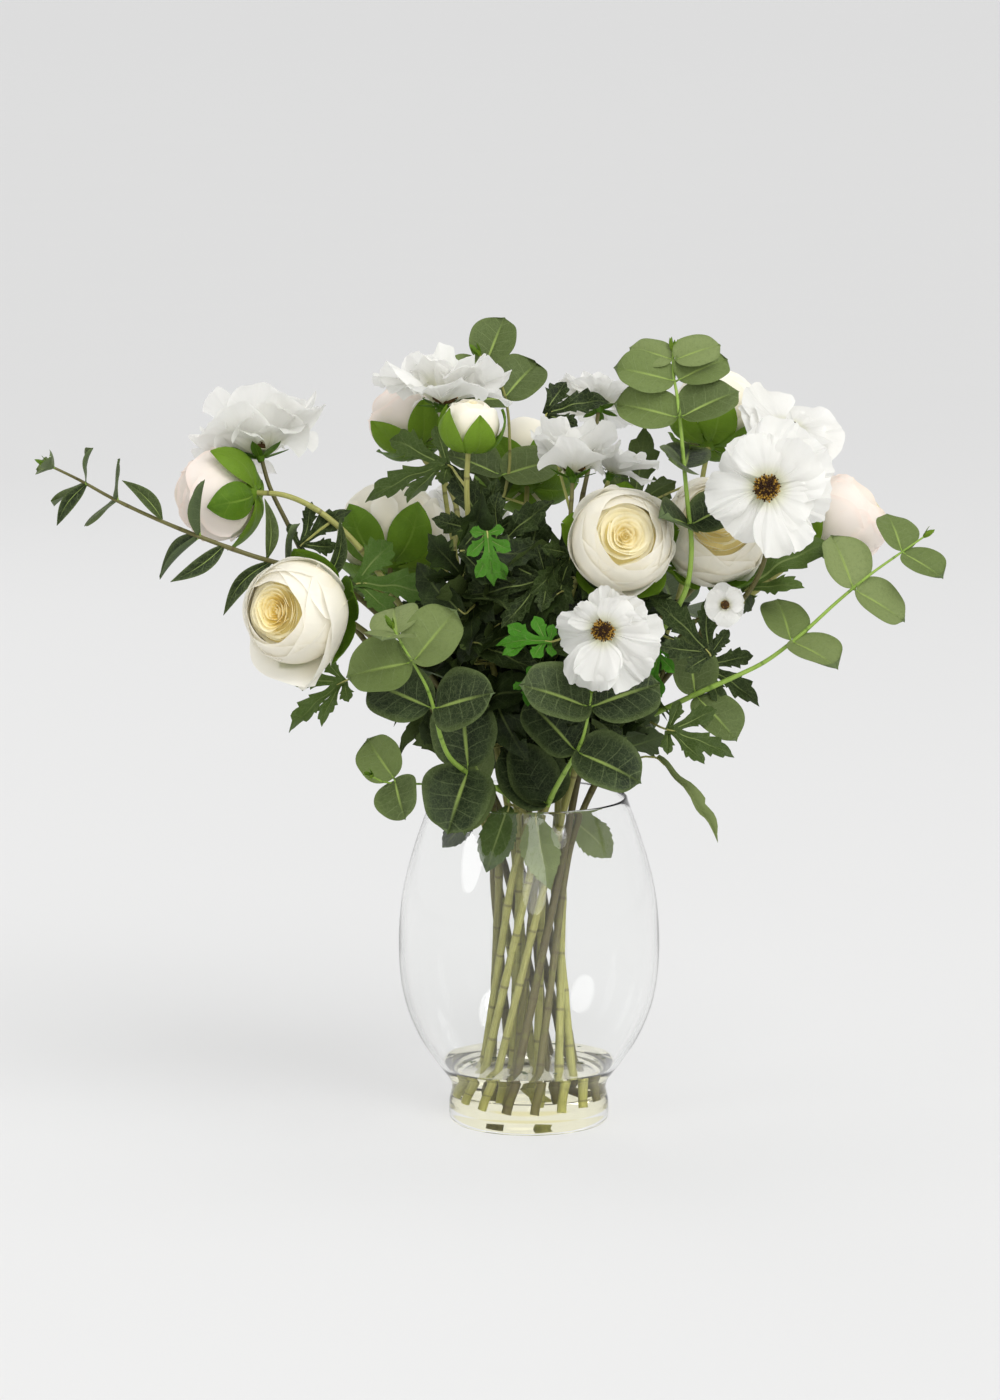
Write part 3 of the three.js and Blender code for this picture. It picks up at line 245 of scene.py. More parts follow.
# %% The cut leaves
# stem, middle of the blade, length, way of the tip, way it faces, kind by its number, tone
PLAIN, CUT, STRAP, FINGER, OVAL = range(5)
LOBED = [
    ("ranunculus_f", (-74.9, -30, 404), 52, (-0.95, -0.1, -0.15), (0.0, -0.75, 0.65), 1, 0.35),
    ("ranunculus_d", (-124.9, -20, 369), 36, (0.7, -0.2, 0.6), (0.1, -0.85, 0.5), 1, 0.15),
    ("ranunculus_f", (-38, -36, 386), 50, (-0.5, -0.2, 0.85), (0.0, -0.9, 0.4), 1, 0.10),
    ("ranunculus_f", (-6, -48, 374), 46, (0.6, -0.3, 0.6), (0.1, -0.85, 0.5), 1, 0.10),
    ("ranunculus_f", (-23.7, -95, 359), 34, (0.1, -0.3, -0.95), (0.0, -0.95, 0.3), 1, 0.85),
    ("ranunculus_b", (-17, -72, 342), 54, (-0.8, -0.2, -0.4), (0.1, -0.85, 0.5), 1, 0.10),
    ("ranunculus_b", (19, -94, 336), 50, (0.2, -0.2, -0.95), (0.3, -0.9, 0.2), 1, 0.20),
    ("ranunculus_b", (-4, -98, 312), 34, (-0.95, -0.2, 0.1), (0.0, -0.85, 0.5), 1, 0.95),
    ("cosmos_e", (10, -98, 279), 32, (0.8, -0.2, -0.5), (0.0, -0.85, 0.5), 1, 0.95),
    ("cosmos_c", (27.8, 20, 440), 38, (0.8, -0.1, 0.3), (0.0, -0.8, 0.6), 0, 0.05),
    ("ranunculus_h", (153, -22, 347), 58, (0.75, -0.2, 0.55), (-0.1, -0.75, 0.65), 1, 0.50),
    ("ranunculus_b", (93, -80, 317), 46, (-0.7, -0.3, 0.4), (0.1, -0.9, 0.4), 1, 0.15),
    ("ranunculus_h", (122, -46, 277), 42, (0.8, -0.2, -0.4), (0.1, -0.85, 0.5), 1, 0.20),
    ("ranunculus_b", (72, -98, 288), 34, (0.1, -0.2, -0.95), (-0.4, -0.9, 0.1), 1, 0.90),
    ("ranunculus_a", (-130, -44, 268), 44, (-0.8, -0.2, -0.45), (-0.1, -0.75, 0.65), 1, 0.55),
    ("ranunculus_h", (103, -62, 248), 42, (0.75, -0.3, -0.5), (0.1, -0.85, 0.5), 1, 0.35),
    ("ranunculus_e", (-78, -2, 336), 52, (0.8, -0.3, -0.3), (0.0, -0.75, 0.65), 0, 0.70),
    ("ranunculus_b", (26, -70, 282), 44, (-0.3, -0.2, 0.9), (0.2, -0.95, 0.2), 0, 0.15),
    ("ranunculus_a", (-32, -46, 318), 56, (-0.4, -0.2, 0.85), (0.1, -0.9, 0.4), 0, 0.05),
    ("ranunculus_b", (50, -34, 326), 56, (0.6, -0.3, 0.6), (0.0, -0.85, 0.5), 0, 0.10),
    ("cosmos_c", (2, -14, 350), 54, (0.2, -0.3, 0.9), (0.1, -0.95, 0.3), 0, 0.05),
    ("ranunculus_f", (-16, -20, 284), 54, (-0.3, -0.3, 0.8), (0.0, -0.9, 0.4), 0, 0.05),
    ("ranunculus_e", (-58, 38, 304), 52, (-0.8, 0.4, 0.2), (0.0, 0.6, 0.8), 0, 0.30),
    ("ranunculus_h", (64, 52, 316), 52, (0.6, 0.7, 0.2), (0.0, 0.7, 0.7), 0, 0.25),
    ("ranunculus_i", (0, 96, 318), 54, (-0.2, 0.8, -0.4), (0.0, 0.9, 0.4), 0, 0.20),
    ("ranunculus_e", (-106, 58, 318), 46, (-0.8, 0.4, -0.1), (-0.2, 0.8, 0.6), 0, 0.35),
    ("ranunculus_j", (70, 96, 392), 50, (0.2, 0.4, 0.9), (0.2, 0.9, 0.3), 0, 0.15),
    ("ranunculus_i", (-30, 84, 400), 50, (-0.5, 0.2, 0.85), (-0.1, 0.95, 0.3), 0, 0.20),
    ("ranunculus_j", (136, 76, 360), 50, (0.8, 0.4, -0.2), (0.2, 0.7, 0.7), 0, 0.30),
    ("ranunculus_h", (96, -52, 212), 62, (0.85, -0.1, -0.45), (0.2, -0.6, 0.75), 2, 0.95),
    ("cosmos_e", (6, -40, 174), 44, (0.1, -0.3, -0.95), (-0.2, -0.95, 0.1), 0, 0.50),
    ("cosmos_b", (-17, -42, 182), 42, (-0.6, -0.2, -0.75), (0.1, -0.95, 0.2), 0, 0.35),
    ("ranunculus_h", (40, 12, 172), 40, (0.7, 0.1, -0.7), (0.0, -0.95, 0.3), 0, 0.55),
    ("ranunculus_d", (-44, -22, 184), 30, (-0.6, -0.1, -0.75), (0.1, -0.95, 0.2), 0, 0.15),
]
print(len(EUCALYPTUS), "eucalyptus branches and", len(LOBED), "cut leaves")

# %% [markdown]
# ## Stems
#
# A hand-tied bouquet is a spiral: each stem leans the same way round, so all cross at a waist and
# spread above and below it. A straight line on a hyperboloid does this. Above the neck each stem
# bends to its head. A last step lets neighbours push each other aside, as they do in a full neck.
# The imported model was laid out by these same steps, so the fine stems follow its rods.

# %% Sizes of the spiral, for the outer ring 0 and the inner ring 1
WAIST_HEIGHT = 115
NECK_HEIGHT = 150
STEM_FOOT = 10
WAIST = {0: 20.0, 1: 7.5}
LEAN = {0: 0.245, 1: 0.10}
MOUTH_TOP = 216
MOUTH_REACH = 50
STEM_GAP = 2.7
STEM_EASE = 1.5
HEAD_GAP = 2.5
STEPS = 25
ROD_STEPS = 6
PUSHES = 140
ROOT_POINTS = 6
print("stems cross at", WAIST_HEIGHT, "mm and bend from", NECK_HEIGHT, "mm")

# %% The stems as a list
stems = []
for f in RANUNCULUS:
    n = unit(f["face"])
    centre = np.array(f["at"], float)
    stems.append(dict(name="ranunculus_" + f["id"], own=f, n=n, end=centre - n * (0.9 * f["r"] + 0.45),
                      r0=2.6, r1=1.9, head=f["r"] * 1.16 + 3.2, centre=centre))
for f in COSMOS:
    n = unit(f["face"])
    centre = np.array(f["at"], float)
    stems.append(dict(name="cosmos_" + f["id"], own=f, n=n, end=centre - n * 1.05,
                      r0=2.4, r1=1.5, head=f["r"] * 0.45, centre=centre + n * f["r"] * 0.15))
for f in EUCALYPTUS:
    last = np.array(f["via"][-1], float)
    stems.append(dict(name="eucalyptus_" + f["id"], own=f, end=last, r0=2.5, r1=1.1, head=0.0, centre=last))
by_name = {s["name"]: s for s in stems}
for s in stems:
    s["parent"] = by_name[s["own"]["on"][0]] if "on" in s["own"] else None
    s["azimuth"] = math.atan2(s["centre"][1], s["centre"][0])
print(len(stems), "stems,", sum(s["parent"] is None for s in stems), "of them from the foot of the vase")


# %% The straight part of each main stem, from its foot to the neck
def spiral(ring, azimuth):
    """A point and a way: the straight line of a stem whose place at the neck has this azimuth."""
    waist, lean = WAIST[ring], LEAN[ring]
    a = azimuth - math.atan(lean * (NECK_HEIGHT - WAIST_HEIGHT) / waist)
    slope = np.array([-lean * math.sin(a), lean * math.cos(a), 1.0])
    foot = np.array([waist * math.cos(a), waist * math.sin(a), 0.0]) - slope * WAIST_HEIGHT
    foot[2] = 0.0
    return foot, slope


for ring in (0, 1):
    row = [s for s in stems if s["parent"] is None and s["own"]["ring"] == ring]
    row.sort(key=lambda s: s["azimuth"])
    step = 2 * math.pi / len(row)
    sx = sum(math.cos(s["azimuth"] - step * k) for k, s in enumerate(row))
    sy = sum(math.sin(s["azimuth"] - step * k) for k, s in enumerate(row))
    for k, s in enumerate(row):
        s["foot"], s["slope"] = spiral(ring, math.atan2(sy, sx) + step * k)
    print("ring", ring, "has", len(row), "stems")


# %% Points part of the way along a stem
def along(points, t):
    """The point of a stem's curve a share t of the way."""
    x = t * (STEPS - 1)
    k = min(STEPS - 2, int(x))
    return points[k] + (points[k + 1] - points[k]) * (x - k)


def on_rod(s, t):
    """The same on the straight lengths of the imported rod."""
    steps = ROD_STEPS - 2 if s["parent"] else ROD_STEPS
    k = min(steps - 1, int(t * steps))
    a = along(s["points"], k / steps)
    return a + (along(s["points"], (k + 1) / steps) - a) * (t * steps - k)


def way_along(s, t):
    """The way that a stem runs there."""
    return unit(along(s["points"], min(1, t + 0.03)) - along(s["points"], max(0, t - 0.03)))


def through(knots, x):
    """A centripetal spline through the knots, at knot number x."""
    k = min(int(x), len(knots) - 2)
    t = x - k
    p1, p2 = knots[k], knots[k + 1]
    p0 = knots[k - 1] if k > 0 else 2 * knots[0] - knots[1]
    p3 = knots[k + 2] if k + 2 < len(knots) else 2 * knots[-1] - knots[-2]
    d0, d1, d2 = (float(np.sum((b - a) ** 2)) ** 0.25 for a, b in ((p0, p1), (p1, p2), (p2, p3)))
    m1 = ((p1 - p0) / d0 - (p2 - p0) / (d0 + d1) + (p2 - p1) / d1) * d1
    m2 = ((p2 - p1) / d1 - (p3 - p1) / (d1 + d2) + (p3 - p2) / d2) * d1
    return p1 + m1 * t + (3 * (p2 - p1) - 2 * m1 - m2) * t * t + (2 * (p1 - p2) + m1 + m2) * t ** 3


print("a bend through three knots, half way:", through(np.array([[0, 0], [1, 1], [2, 0.0]]), 0.5).round(3))


# %% Bend each stem from the neck to its head
for s in sorted(stems, key=lambda s: s["parent"] is not None):
    if s["parent"]:
        share = s["own"]["on"][1]
        start, way = on_rod(s["parent"], share), way_along(s["parent"], share)
        s["r0"] = blend(s["parent"]["r0"], s["parent"]["r1"], share) * 0.85
    else:
        start, way = s["foot"] + s["slope"] * NECK_HEIGHT, unit(s["slope"])
    span = np.linalg.norm(s["end"] - start)
    shares = np.arange(STEPS) / (STEPS - 1)
    if "via" in s["own"]:
        via = [np.array(p, float) for p in s["own"]["via"]]
        knots = [start - way * 20, start, start + way * 0.2 * span] + via
        s["points"] = np.array([through(knots, 1 + (len(via) + 1) * t) for t in shares])
    else:
        p1, p2 = start + way * 0.34 * span, s["end"] - s["n"] * 0.28 * span
        t = shares[:, None]
        s["points"] = ((1 - t) ** 3 * start + 3 * (1 - t) ** 2 * t * p1 + 3 * (1 - t) * t ** 2 * p2
                       + t ** 3 * s["end"])
    s["rest"] = s["points"].copy()
spans = [np.linalg.norm(s["end"] - s["points"][0]) for s in stems]
print("longest stem above the neck:", round(max(spans)), "mm")

# %% Which points of which stems have to keep apart, and how far
ranks = np.arange(STEPS)
hold = np.minimum(np.maximum(0, (ranks - 1) / 3), np.maximum(0, (STEPS - 2 - ranks) / 2))
hold = np.minimum(1, hold)[:, None]
radius_at = np.array([blend(s["r0"], s["r1"], ranks / (STEPS - 1)) for s in stems])
wanted = radius_at[:, None, :, None] + radius_at[None, :, None, :] + STEM_GAP + STEM_EASE
apart = np.ones(wanted.shape, bool)
apart[:, :, 0, :] = False
apart[:, :, :, 0] = False
for a, s in enumerate(stems):
    apart[a, a] = False
    for b, other in enumerate(stems):
        if s["parent"] is other or other["parent"] is s:
            if s["parent"]:
                apart[a, b, :ROOT_POINTS, :] = False
            if other["parent"]:
                apart[a, b, :, :ROOT_POINTS] = False
print("pairs of points that have to keep apart:", int(apart.sum()) // 2)

# %% Let neighbouring stems push each other aside
heads = np.array([s["centre"] for s in stems])
reach = np.array([s["head"] for s in stems])
inner = np.zeros((len(stems), STEPS, 1))
inner[:, 1:-1] = 1.0
for turn in range(PUSHES):
    # a side stem follows the stem that it grows from
    for s in stems:
        if s["parent"]:
            shift = on_rod(s["parent"], s["own"]["on"][1]) - s["rest"][0]
            s["rest"] += shift * ((1 - ranks / (STEPS - 1)) ** 2)[:, None]
            s["points"][0] = s["rest"][0]
    # stems that are too near push each other
    points = np.array([s["points"] for s in stems])
    gap = points[:, None, :, None, :] - points[None, :, None, :, :]
    far = np.linalg.norm(gap, axis=-1)
    near = apart & (far < wanted)
    size = np.where(near, np.minimum(1, wanted - far) * 0.45 / np.maximum(far, 0.01), 0)
    push = np.einsum("abij,abijk->aik", size, gap)
    # heads push stems away
    off = points[:, :, None, :] - heads[None, None]
    far = np.linalg.norm(off, axis=-1)
    need = reach[None, None] + radius_at[:, :, None] + HEAD_GAP
    touch = (far < need) & (reach > 0)[None, None]
    touch[np.arange(len(stems)), :, np.arange(len(stems))] = False
    size = np.where(touch, np.minimum(2, need - far) / np.maximum(far, 0.01), 0)
    push += np.einsum("aib,aibk->aik", size, off) * inner
    # the mouth of the vase keeps them in
    out = np.hypot(points[..., 0], points[..., 1])
    outside_mouth = (points[..., 2] < MOUTH_TOP) & (out > MOUTH_REACH)
    back = np.where(outside_mouth, np.minimum(3, out - MOUTH_REACH) / out, 0)
    push[..., 0] -= (points[..., 0] * back) * inner[..., 0]
    push[..., 1] -= (points[..., 1] * back) * inner[..., 0]
    # each stem moves, and its bends are softened
    for s, shove in zip(stems, push):
        moved = s["points"] + shove - s["rest"]
        soft = 0.5 * moved[1:-1] + 0.25 * moved[:-2] + 0.25 * moved[2:]
        s["points"][1:-1] = s["rest"][1:-1] + soft * hold[1:-1]
moved_most = max(float(np.abs(s["points"] - s["rest"]).max()) for s in stems)
print("furthest that a stem moved aside:", round(moved_most, 1), "mm")

# %% [markdown]
# ## One way to make every mesh
#
# Petals, leaves and stems are all grids of points. One bundle gathers such grids for a node, with
# three numbers at each point for the finish: across, along and a tone of the piece's own. A petal is
# one surface, alike on both sides. A leaf gets a top and an underside that meet at its edge, because
# the two have different colours.

# %% A bundle of grids that becomes one mesh
def lengths_along(path):
    """How far along a path each of its points lies."""
    return np.concatenate([[0], np.cumsum(np.linalg.norm(np.diff(path, axis=0), axis=1))])


class Bundle:
    """Grids of points, in millimetres, gathered for one mesh."""

    def __init__(self):
        self.points, self.faces, self.paint, self.finish = [], [], [], []
        self.count = 0

    def grid(self, points, paint, finish, around=False, flip=False):
        """Quads between the rows of a grid of points; around closes each row on itself."""
        rows, cols = points.shape[:2]
        index = np.arange(rows * cols).reshape(rows, cols) + self.count
        nxt = np.roll(index, -1, axis=1) if around else index[:, 1:]
        one = index if around else index[:, :-1]
        quads = np.stack([one[:-1], nxt[:-1], nxt[1:], one[1:]], axis=-1).reshape(-1, 4)
        self.faces.append(quads[:, ::-1] if flip else quads)
        self.points.append(points.reshape(-1, 3))
        self.paint.append(np.broadcast_to(paint, points.shape).reshape(-1, 3))
        self.finish.append(np.full(len(quads), finish))
        self.count += rows * cols

    def petal(self, points, paint, finish):
        """Thin cloth that is alike on both sides: one surface."""
        self.grid(points, paint, finish, flip=True)

    def leaf(self, points, paint, finish, thick=0.5):
        """A top and an underside that meet at the edge; the underside has 2 added to its tone."""
        normal = unit(np.cross(np.gradient(points, axis=0), np.gradient(points, axis=1)))
        v, c = sheet(*points.shape[:2])
        thinned = (1 - np.abs(c) ** 6) * np.minimum(1, 8 * np.minimum(v, 1 - v))
        half = normal * (0.5 * thick * thinned)[..., None]
        self.grid(points + half, paint, finish, flip=True)
        self.grid(points - half, paint + np.array([0.0, 0.0, 2.0]), finish)

    def tube(self, path, radii, sides, finish, tone, marks=0.0):
        """A round rod along a path, closed at both ends."""
        path = np.asarray(path, float)
        way = unit(np.gradient(path, axis=0))
        side = np.array([0.31, 0.95, 0.02])
        rows = []
        for tangent in way:
            side = unit(side - tangent * side.dot(tangent))
            rows.append([side, np.cross(tangent, side)])
        axes = np.array(rows)
        angle = ring_of(sides)[None, :, None]
        ring = np.cos(angle) * axes[:, None, 0] + np.sin(angle) * axes[:, None, 1]
        points = path[:, None] + ring * np.asarray(radii)[:, None, None]
        paint = layers((np.arange(sides) / sides)[None], lengths_along(path)[:, None] + marks, tone)
        ends = [np.broadcast_to(end, points[:1].shape) for end in (path[0], path[-1])]
        self.grid(np.concatenate([ends[0], points, ends[1]]), np.concatenate([paint[:1], paint, paint[-1:]]),
                  finish, around=True)

    def build(self, name, finishes, crease=50):
        """The mesh in metres, as an object that rides on the body."""
        points = np.concatenate(self.points) * MILLIMETRE
        faces = np.concatenate(self.faces)
        mesh = bpy.data.meshes.new(name)
        mesh.from_pydata(points.tolist(), [], faces.tolist())
        for finish in finishes:
            mesh.materials.append(finish)
        mesh.polygons.foreach_set("material_index", np.concatenate(self.finish).astype(np.int32))
        layer = mesh.attributes.new("spot", "FLOAT_VECTOR", "POINT")
        layer.data.foreach_set("vector", np.concatenate(self.paint).astype(np.float32).ravel())
        mesh.validate()
        mesh.shade_smooth()
        mesh.set_sharp_from_angle(angle=math.radians(crease))
        piece = bpy.data.objects.new(name, mesh)
        bpy.context.scene.collection.objects.link(piece)
        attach(piece, "root")
        return piece


print("a bundle is ready for petals, leaves, rods and rings")


# %% [markdown]
# ## Shader maths
#
# A finish is a formula: a leaf is dark green, plus a pale line where the midrib runs, plus a little
# noise. Written with the usual signs it reads like one, so a small class wraps a socket and turns
# each sign into a Math node.

# %% The wire: one socket that can be added, multiplied and compared
OBJECT_COORDINATES = 3


class Wire:
    """A socket of a material's node tree."""

    def __init__(self, tree, socket=None):
        self.tree, self.socket = tree, socket

    def node(self, kind, settings, sockets, output=0):
        """Adds a node of this kind: settings first, then the values or links of its sockets."""
        made = self.tree.nodes.new(kind)
        for key, value in settings.items():
            setattr(made, key, value)
        for key, value in sockets.items():
            found = [s for s in made.inputs if key in (s.identifier, s.name)]
            if isinstance(value, Wire):
                self.tree.links.new(value.socket, found[0])
            else:
                found[0].default_value = value
        return Wire(self.tree, made.outputs[output])

    def maths(self, operation, *values):
        sockets = dict(zip(("Value", "Value_001"), values))
        return self.node("ShaderNodeMath", {"operation": operation}, sockets)

    def __add__(self, other):
        return self.maths("ADD", self, other)

    def __radd__(self, other):
        return self.maths("ADD", other, self)

    def __sub__(self, other):
        return self.maths("SUBTRACT", self, other)

    def __rsub__(self, other):
        return self.maths("SUBTRACT", other, self)

    def __mul__(self, other):
        return self.maths("MULTIPLY", self, other)

    def __rmul__(self, other):
        return self.maths("MULTIPLY", other, self)

    def __abs__(self):
        return self.maths("ABSOLUTE", self)

    def zigzag(self, step):
        """Runs from 0 up to step and down again, over and over."""
        return self.maths("PINGPONG", self, step)

    def between(self, low, high):
        """0 below low, 1 above high and a smooth way from one to the other."""
        return self.node("ShaderNodeMapRange", {"interpolation_type": "SMOOTHSTEP"},
                         {"Value": self, "From Min": low, "From Max": high})

    def least(self, other):
        return self.maths("MINIMUM", self, other)

    def most(self, other):
        return self.maths("MAXIMUM", self, other)

    def mix(self, first, second):
        """The first colour where this is 0, the second where it is 1."""
        return self.node("ShaderNodeMix", {"data_type": "RGBA"},
                         {"Factor_Float": self, "A_Color": first, "B_Color": second}, 2)

    def place(self):
        """Where a point lies on its own mesh, in metres."""
        return self.node("ShaderNodeTexCoord", {}, {}, OBJECT_COORDINATES)

    def vector(self, x, y, z):
        return self.node("ShaderNodeCombineXYZ", {}, {"X": x, "Y": y, "Z": z})

    def noise(self, scale, detail=3.0, roughness=0.5, at=None):
        """Soft random spots, over the mesh or over another vector."""
        sockets = {"Vector": at or self.place(), "Scale": scale, "Detail": detail, "Roughness": roughness}
        return self.node("ShaderNodeTexNoise", {}, sockets)

    def bump(self, strength, distance, height):
        sockets = {"Strength": strength, "Distance": distance, "Height": height}
        return self.node("ShaderNodeBump", {}, sockets)


print("wires can be joined by +, - and *")


# %% A new finish and its painted places
def colour(red, green, blue):
    """A colour given as it looks on a screen, 0 to 255, for a socket that wants linear light."""
    light = [((c / 255 + 0.055) / 1.055) ** 2.4 if c > 10.3 else c / 3294.6 for c in (red, green, blue)]
    return (*light, 1.0)


def empty_finish(name):
    """A material with nothing in it yet, and a wire of its tree."""
    material = bpy.data.materials.new(name)
    material.use_nodes = True
    material.node_tree.nodes.clear()
    return material, Wire(material.node_tree)


def new_finish(name):
    """The same with the painted places: across, along, tone, and 1 on a top or 0 on an underside."""
    material, start = empty_finish(name)
    spot = start.node("ShaderNodeAttribute", {"attribute_name": "spot"}, {}, 1)
    across, up, tone = (start.node("ShaderNodeSeparateXYZ", {}, {"Vector": spot}, k) for k in range(3))
    face = 1.0 - tone.between(1.4, 1.6)
    return material, start, (across, up, tone - (1.0 - face) * 2.0, face)


def surface(start, sockets, through_light=None, share=0.0):
    """Ends a finish: the shader, with some light let through where it is thin."""
    shader = start.node("ShaderNodeBsdfPrincipled", {}, sockets)
    if through_light is not None:
        glow = start.node("ShaderNodeBsdfTranslucent", {}, {"Color": through_light})
        shader = start.node("ShaderNodeMixShader", {}, {"Fac": share, "Shader": shader, "Shader_001": glow})
    end = start.tree.nodes.new("ShaderNodeOutputMaterial")
    start.tree.links.new(shader.socket, end.inputs["Surface"])


print("middle grey for a socket:", colour(128, 128, 128))


# %% [markdown]
# ## Petals of the ranunculus
#
# The cloth petals are cream, warmer and more golden towards the heart of the flower where they lie
# close, and each has faint lines that fan from its base. Fine cloth lets a little light through.

# %% The petal finishes
def ranunculus_petal(name, outer, rim, heart, glow):
    """Cloth whose colour goes from outer to heart as it lies deeper, with a rim and lines that fan."""
    material, start, (across, up, depth, _) = new_finish(name)
    fan = start.noise(2.2, 4.0, 0.6, start.vector(across * 9.0, up * 0.9, depth * 40.0))
    cloud = start.noise(60.0, 3.0, 0.5)
    low = 1.0 - up.between(0.25, 0.98)
    inner = depth.between(0.20, 1.0)
    warm = (inner * (0.55 + 0.45 * low) + low * 0.30).least(1.0)
    base = warm.mix(outer, heart)
    base = (up.between(0.90, 1.0) * 0.55 + abs(across).between(0.42, 0.5) * 0.25).least(1.0).mix(base, rim)
    base = ((fan - 0.5) * 0.16 + (cloud - 0.5) * 0.10).most(0.0).mix(base, colour(240, 222, 178))
    surface(start, {"Base Color": base, "Roughness": 0.46 + 0.2 * fan,
                    "Normal": start.bump(0.36, 0.0008, fan + cloud * 0.3),
                    "Specular IOR Level": 0.35, "Sheen Weight": 0.1}, glow, 0.45)
    return material


cream = ranunculus_petal("cream_petal", colour(255, 252, 242), colour(255, 252, 244), colour(255, 236, 164),
                         (1.0, 0.985, 0.92, 1.0))
blush = ranunculus_petal("blush_petal", colour(255, 248, 241), colour(254, 232, 221), colour(254, 241, 212),
                         (1.0, 0.963, 0.935, 1.0))
golden = ranunculus_petal("nest_petal", colour(255, 251, 236), colour(255, 250, 226), colour(255, 229, 116),
                          (1.0, 0.965, 0.74, 1.0))
print("petal finishes ready")


# %% [markdown]
# ## Petals of the cosmos
#
# White cloth pressed into pleats. At the base each petal turns yellow-green. The pleats are lines of
# noise, stretched along the petal and used as relief, because real ones are finer than the mesh.

# %% The cosmos finish
def cosmos_petal(name):
    material, start, (across, up, number, _) = new_finish(name)
    fan = start.noise(2.0, 5.0, 0.65, start.vector(across * 15.0, up * 0.8, number * 90.0))
    crepe = start.noise(420.0, 3.0, 0.6)
    green = (1.0 - up.between(0.10, 0.42)) * (0.35 + 0.65 * fan)
    base = green.mix(colour(243, 242, 238), colour(200, 200, 104))
    base = (fan.between(0.50, 0.8) * 0.35).mix(base, colour(222, 220, 212))
    surface(start, {"Base Color": base, "Roughness": 0.38 + 0.2 * crepe,
                    "Normal": start.bump(0.7, 0.0009, fan + crepe * 0.5 * up.between(0.45, 0.95)),
                    "Specular IOR Level": 0.45, "Sheen Weight": 0.1}, (0.97, 0.97, 0.95, 1.0), 0.46)
    return material


white = cosmos_petal("white_petal")
print("cosmos petal finish has", len(white.node_tree.nodes), "nodes")


# %% [markdown]
# ## Buttons and stems
#
# A cosmos has a dark button whose threads end in yellow knobs: the tone painted on each thread says
# how yellow it is. A stem has a plastic skin with streaks, spots and a ring at each joint. The rings
# come from the length painted along the rod, folded back and forth, so they stay even on any bend.

# %% The button and stem finishes
def button_finish():
    material, start, (_, _, gold, _) = new_finish("flower_button")
    grain = start.noise(1800.0, 2.0, 0.5)
    base = gold.mix(colour(44, 24, 20), colour(182, 142, 58))
    base = (grain.between(0.5, 0.8) * 0.6).mix(base, colour(28, 22, 14))
    surface(start, {"Base Color": base, "Roughness": 0.8 - 0.2 * grain,
                    "Normal": start.bump(0.6, 0.0003, grain), "Specular IOR Level": 0.2})
    return material


JOINT = 34.0


def stem_finish(name, young, pale, spots, ring_tint):
    """A rod from a young green to brown as its tone rises, with pale streaks, spots and rings."""
    material, start, (around, length, tone, _) = new_finish(name)
    lines = start.noise(3.0, 4.0, 0.6, start.vector(around * 8.0, length * 0.02, tone * 5.0))
    mottle = start.noise(150.0, 4.0, 0.6)
    ring = 1.0 - length.zigzag(JOINT / 2).between(0.3, 1.3)
    base = tone.mix(young, colour(62, 52, 28))
    base = (lines.between(0.35, 0.75) * 0.6 * (1.0 - tone)).mix(base, pale)
    base = (mottle.between(0.50, 0.72) * 0.45).mix(base, spots)
    base = (ring * 0.55).mix(base, ring_tint)
    surface(start, {"Base Color": base, "Roughness": 0.42 + 0.25 * mottle,
                    "Normal": start.bump(0.5, 0.0005, lines * 0.6 + mottle * 0.4 + ring * 0.6),
                    "Specular IOR Level": 0.4})
    return material


button = button_finish()
stem_skin = stem_finish("stem", colour(160, 160, 84), colour(190, 190, 124), colour(104, 108, 44),
                        colour(70, 58, 34))
shoot_skin = stem_finish("green_shoot", colour(128, 160, 60), colour(168, 192, 100), colour(92, 124, 36),
                         colour(84, 110, 40))
print("stems have a ring every", JOINT, "mm")


# %% [markdown]
# ## Leaves
#
# Both kinds are printed and pressed cloth: a pale midrib, side veins that leave it at an angle, and
# a fine net between them. The painted places run across and along each blade, so the veins are
# lines in those places. The underside is paler than the top. The net is the edges of random cells,
# bent a little by noise so that no line runs straight.
# Some light is painted in as colour: shade down the middle of a blade, a lighter rim on eucalyptus leaves and
# faint veins on leaves deep in the heart.

# %% The net between the veins
def vein_net(start, size):
    """Thin lines of a net with cells of this size in metres, 1 on the line and 0 between."""
    where = start.place()
    stir = start.node("ShaderNodeTexNoise", {}, {"Vector": where, "Scale": 300.0}, 1)
    stir = start.node("ShaderNodeVectorMath", {"operation": "SCALE"}, {"Vector": stir, "Scale": 0.002})
    bent = start.node("ShaderNodeVectorMath", {"operation": "ADD"}, {"Vector": where, "Vector_001": stir})
    cell = start.node("ShaderNodeTexVoronoi", {"feature": "DISTANCE_TO_EDGE"},
                      {"Vector": bent, "Scale": 1.0 / size})
    return 1.0 - cell.between(0.01, 0.09)


print("cells of the two nets are 3.6 and 1.5 mm wide")

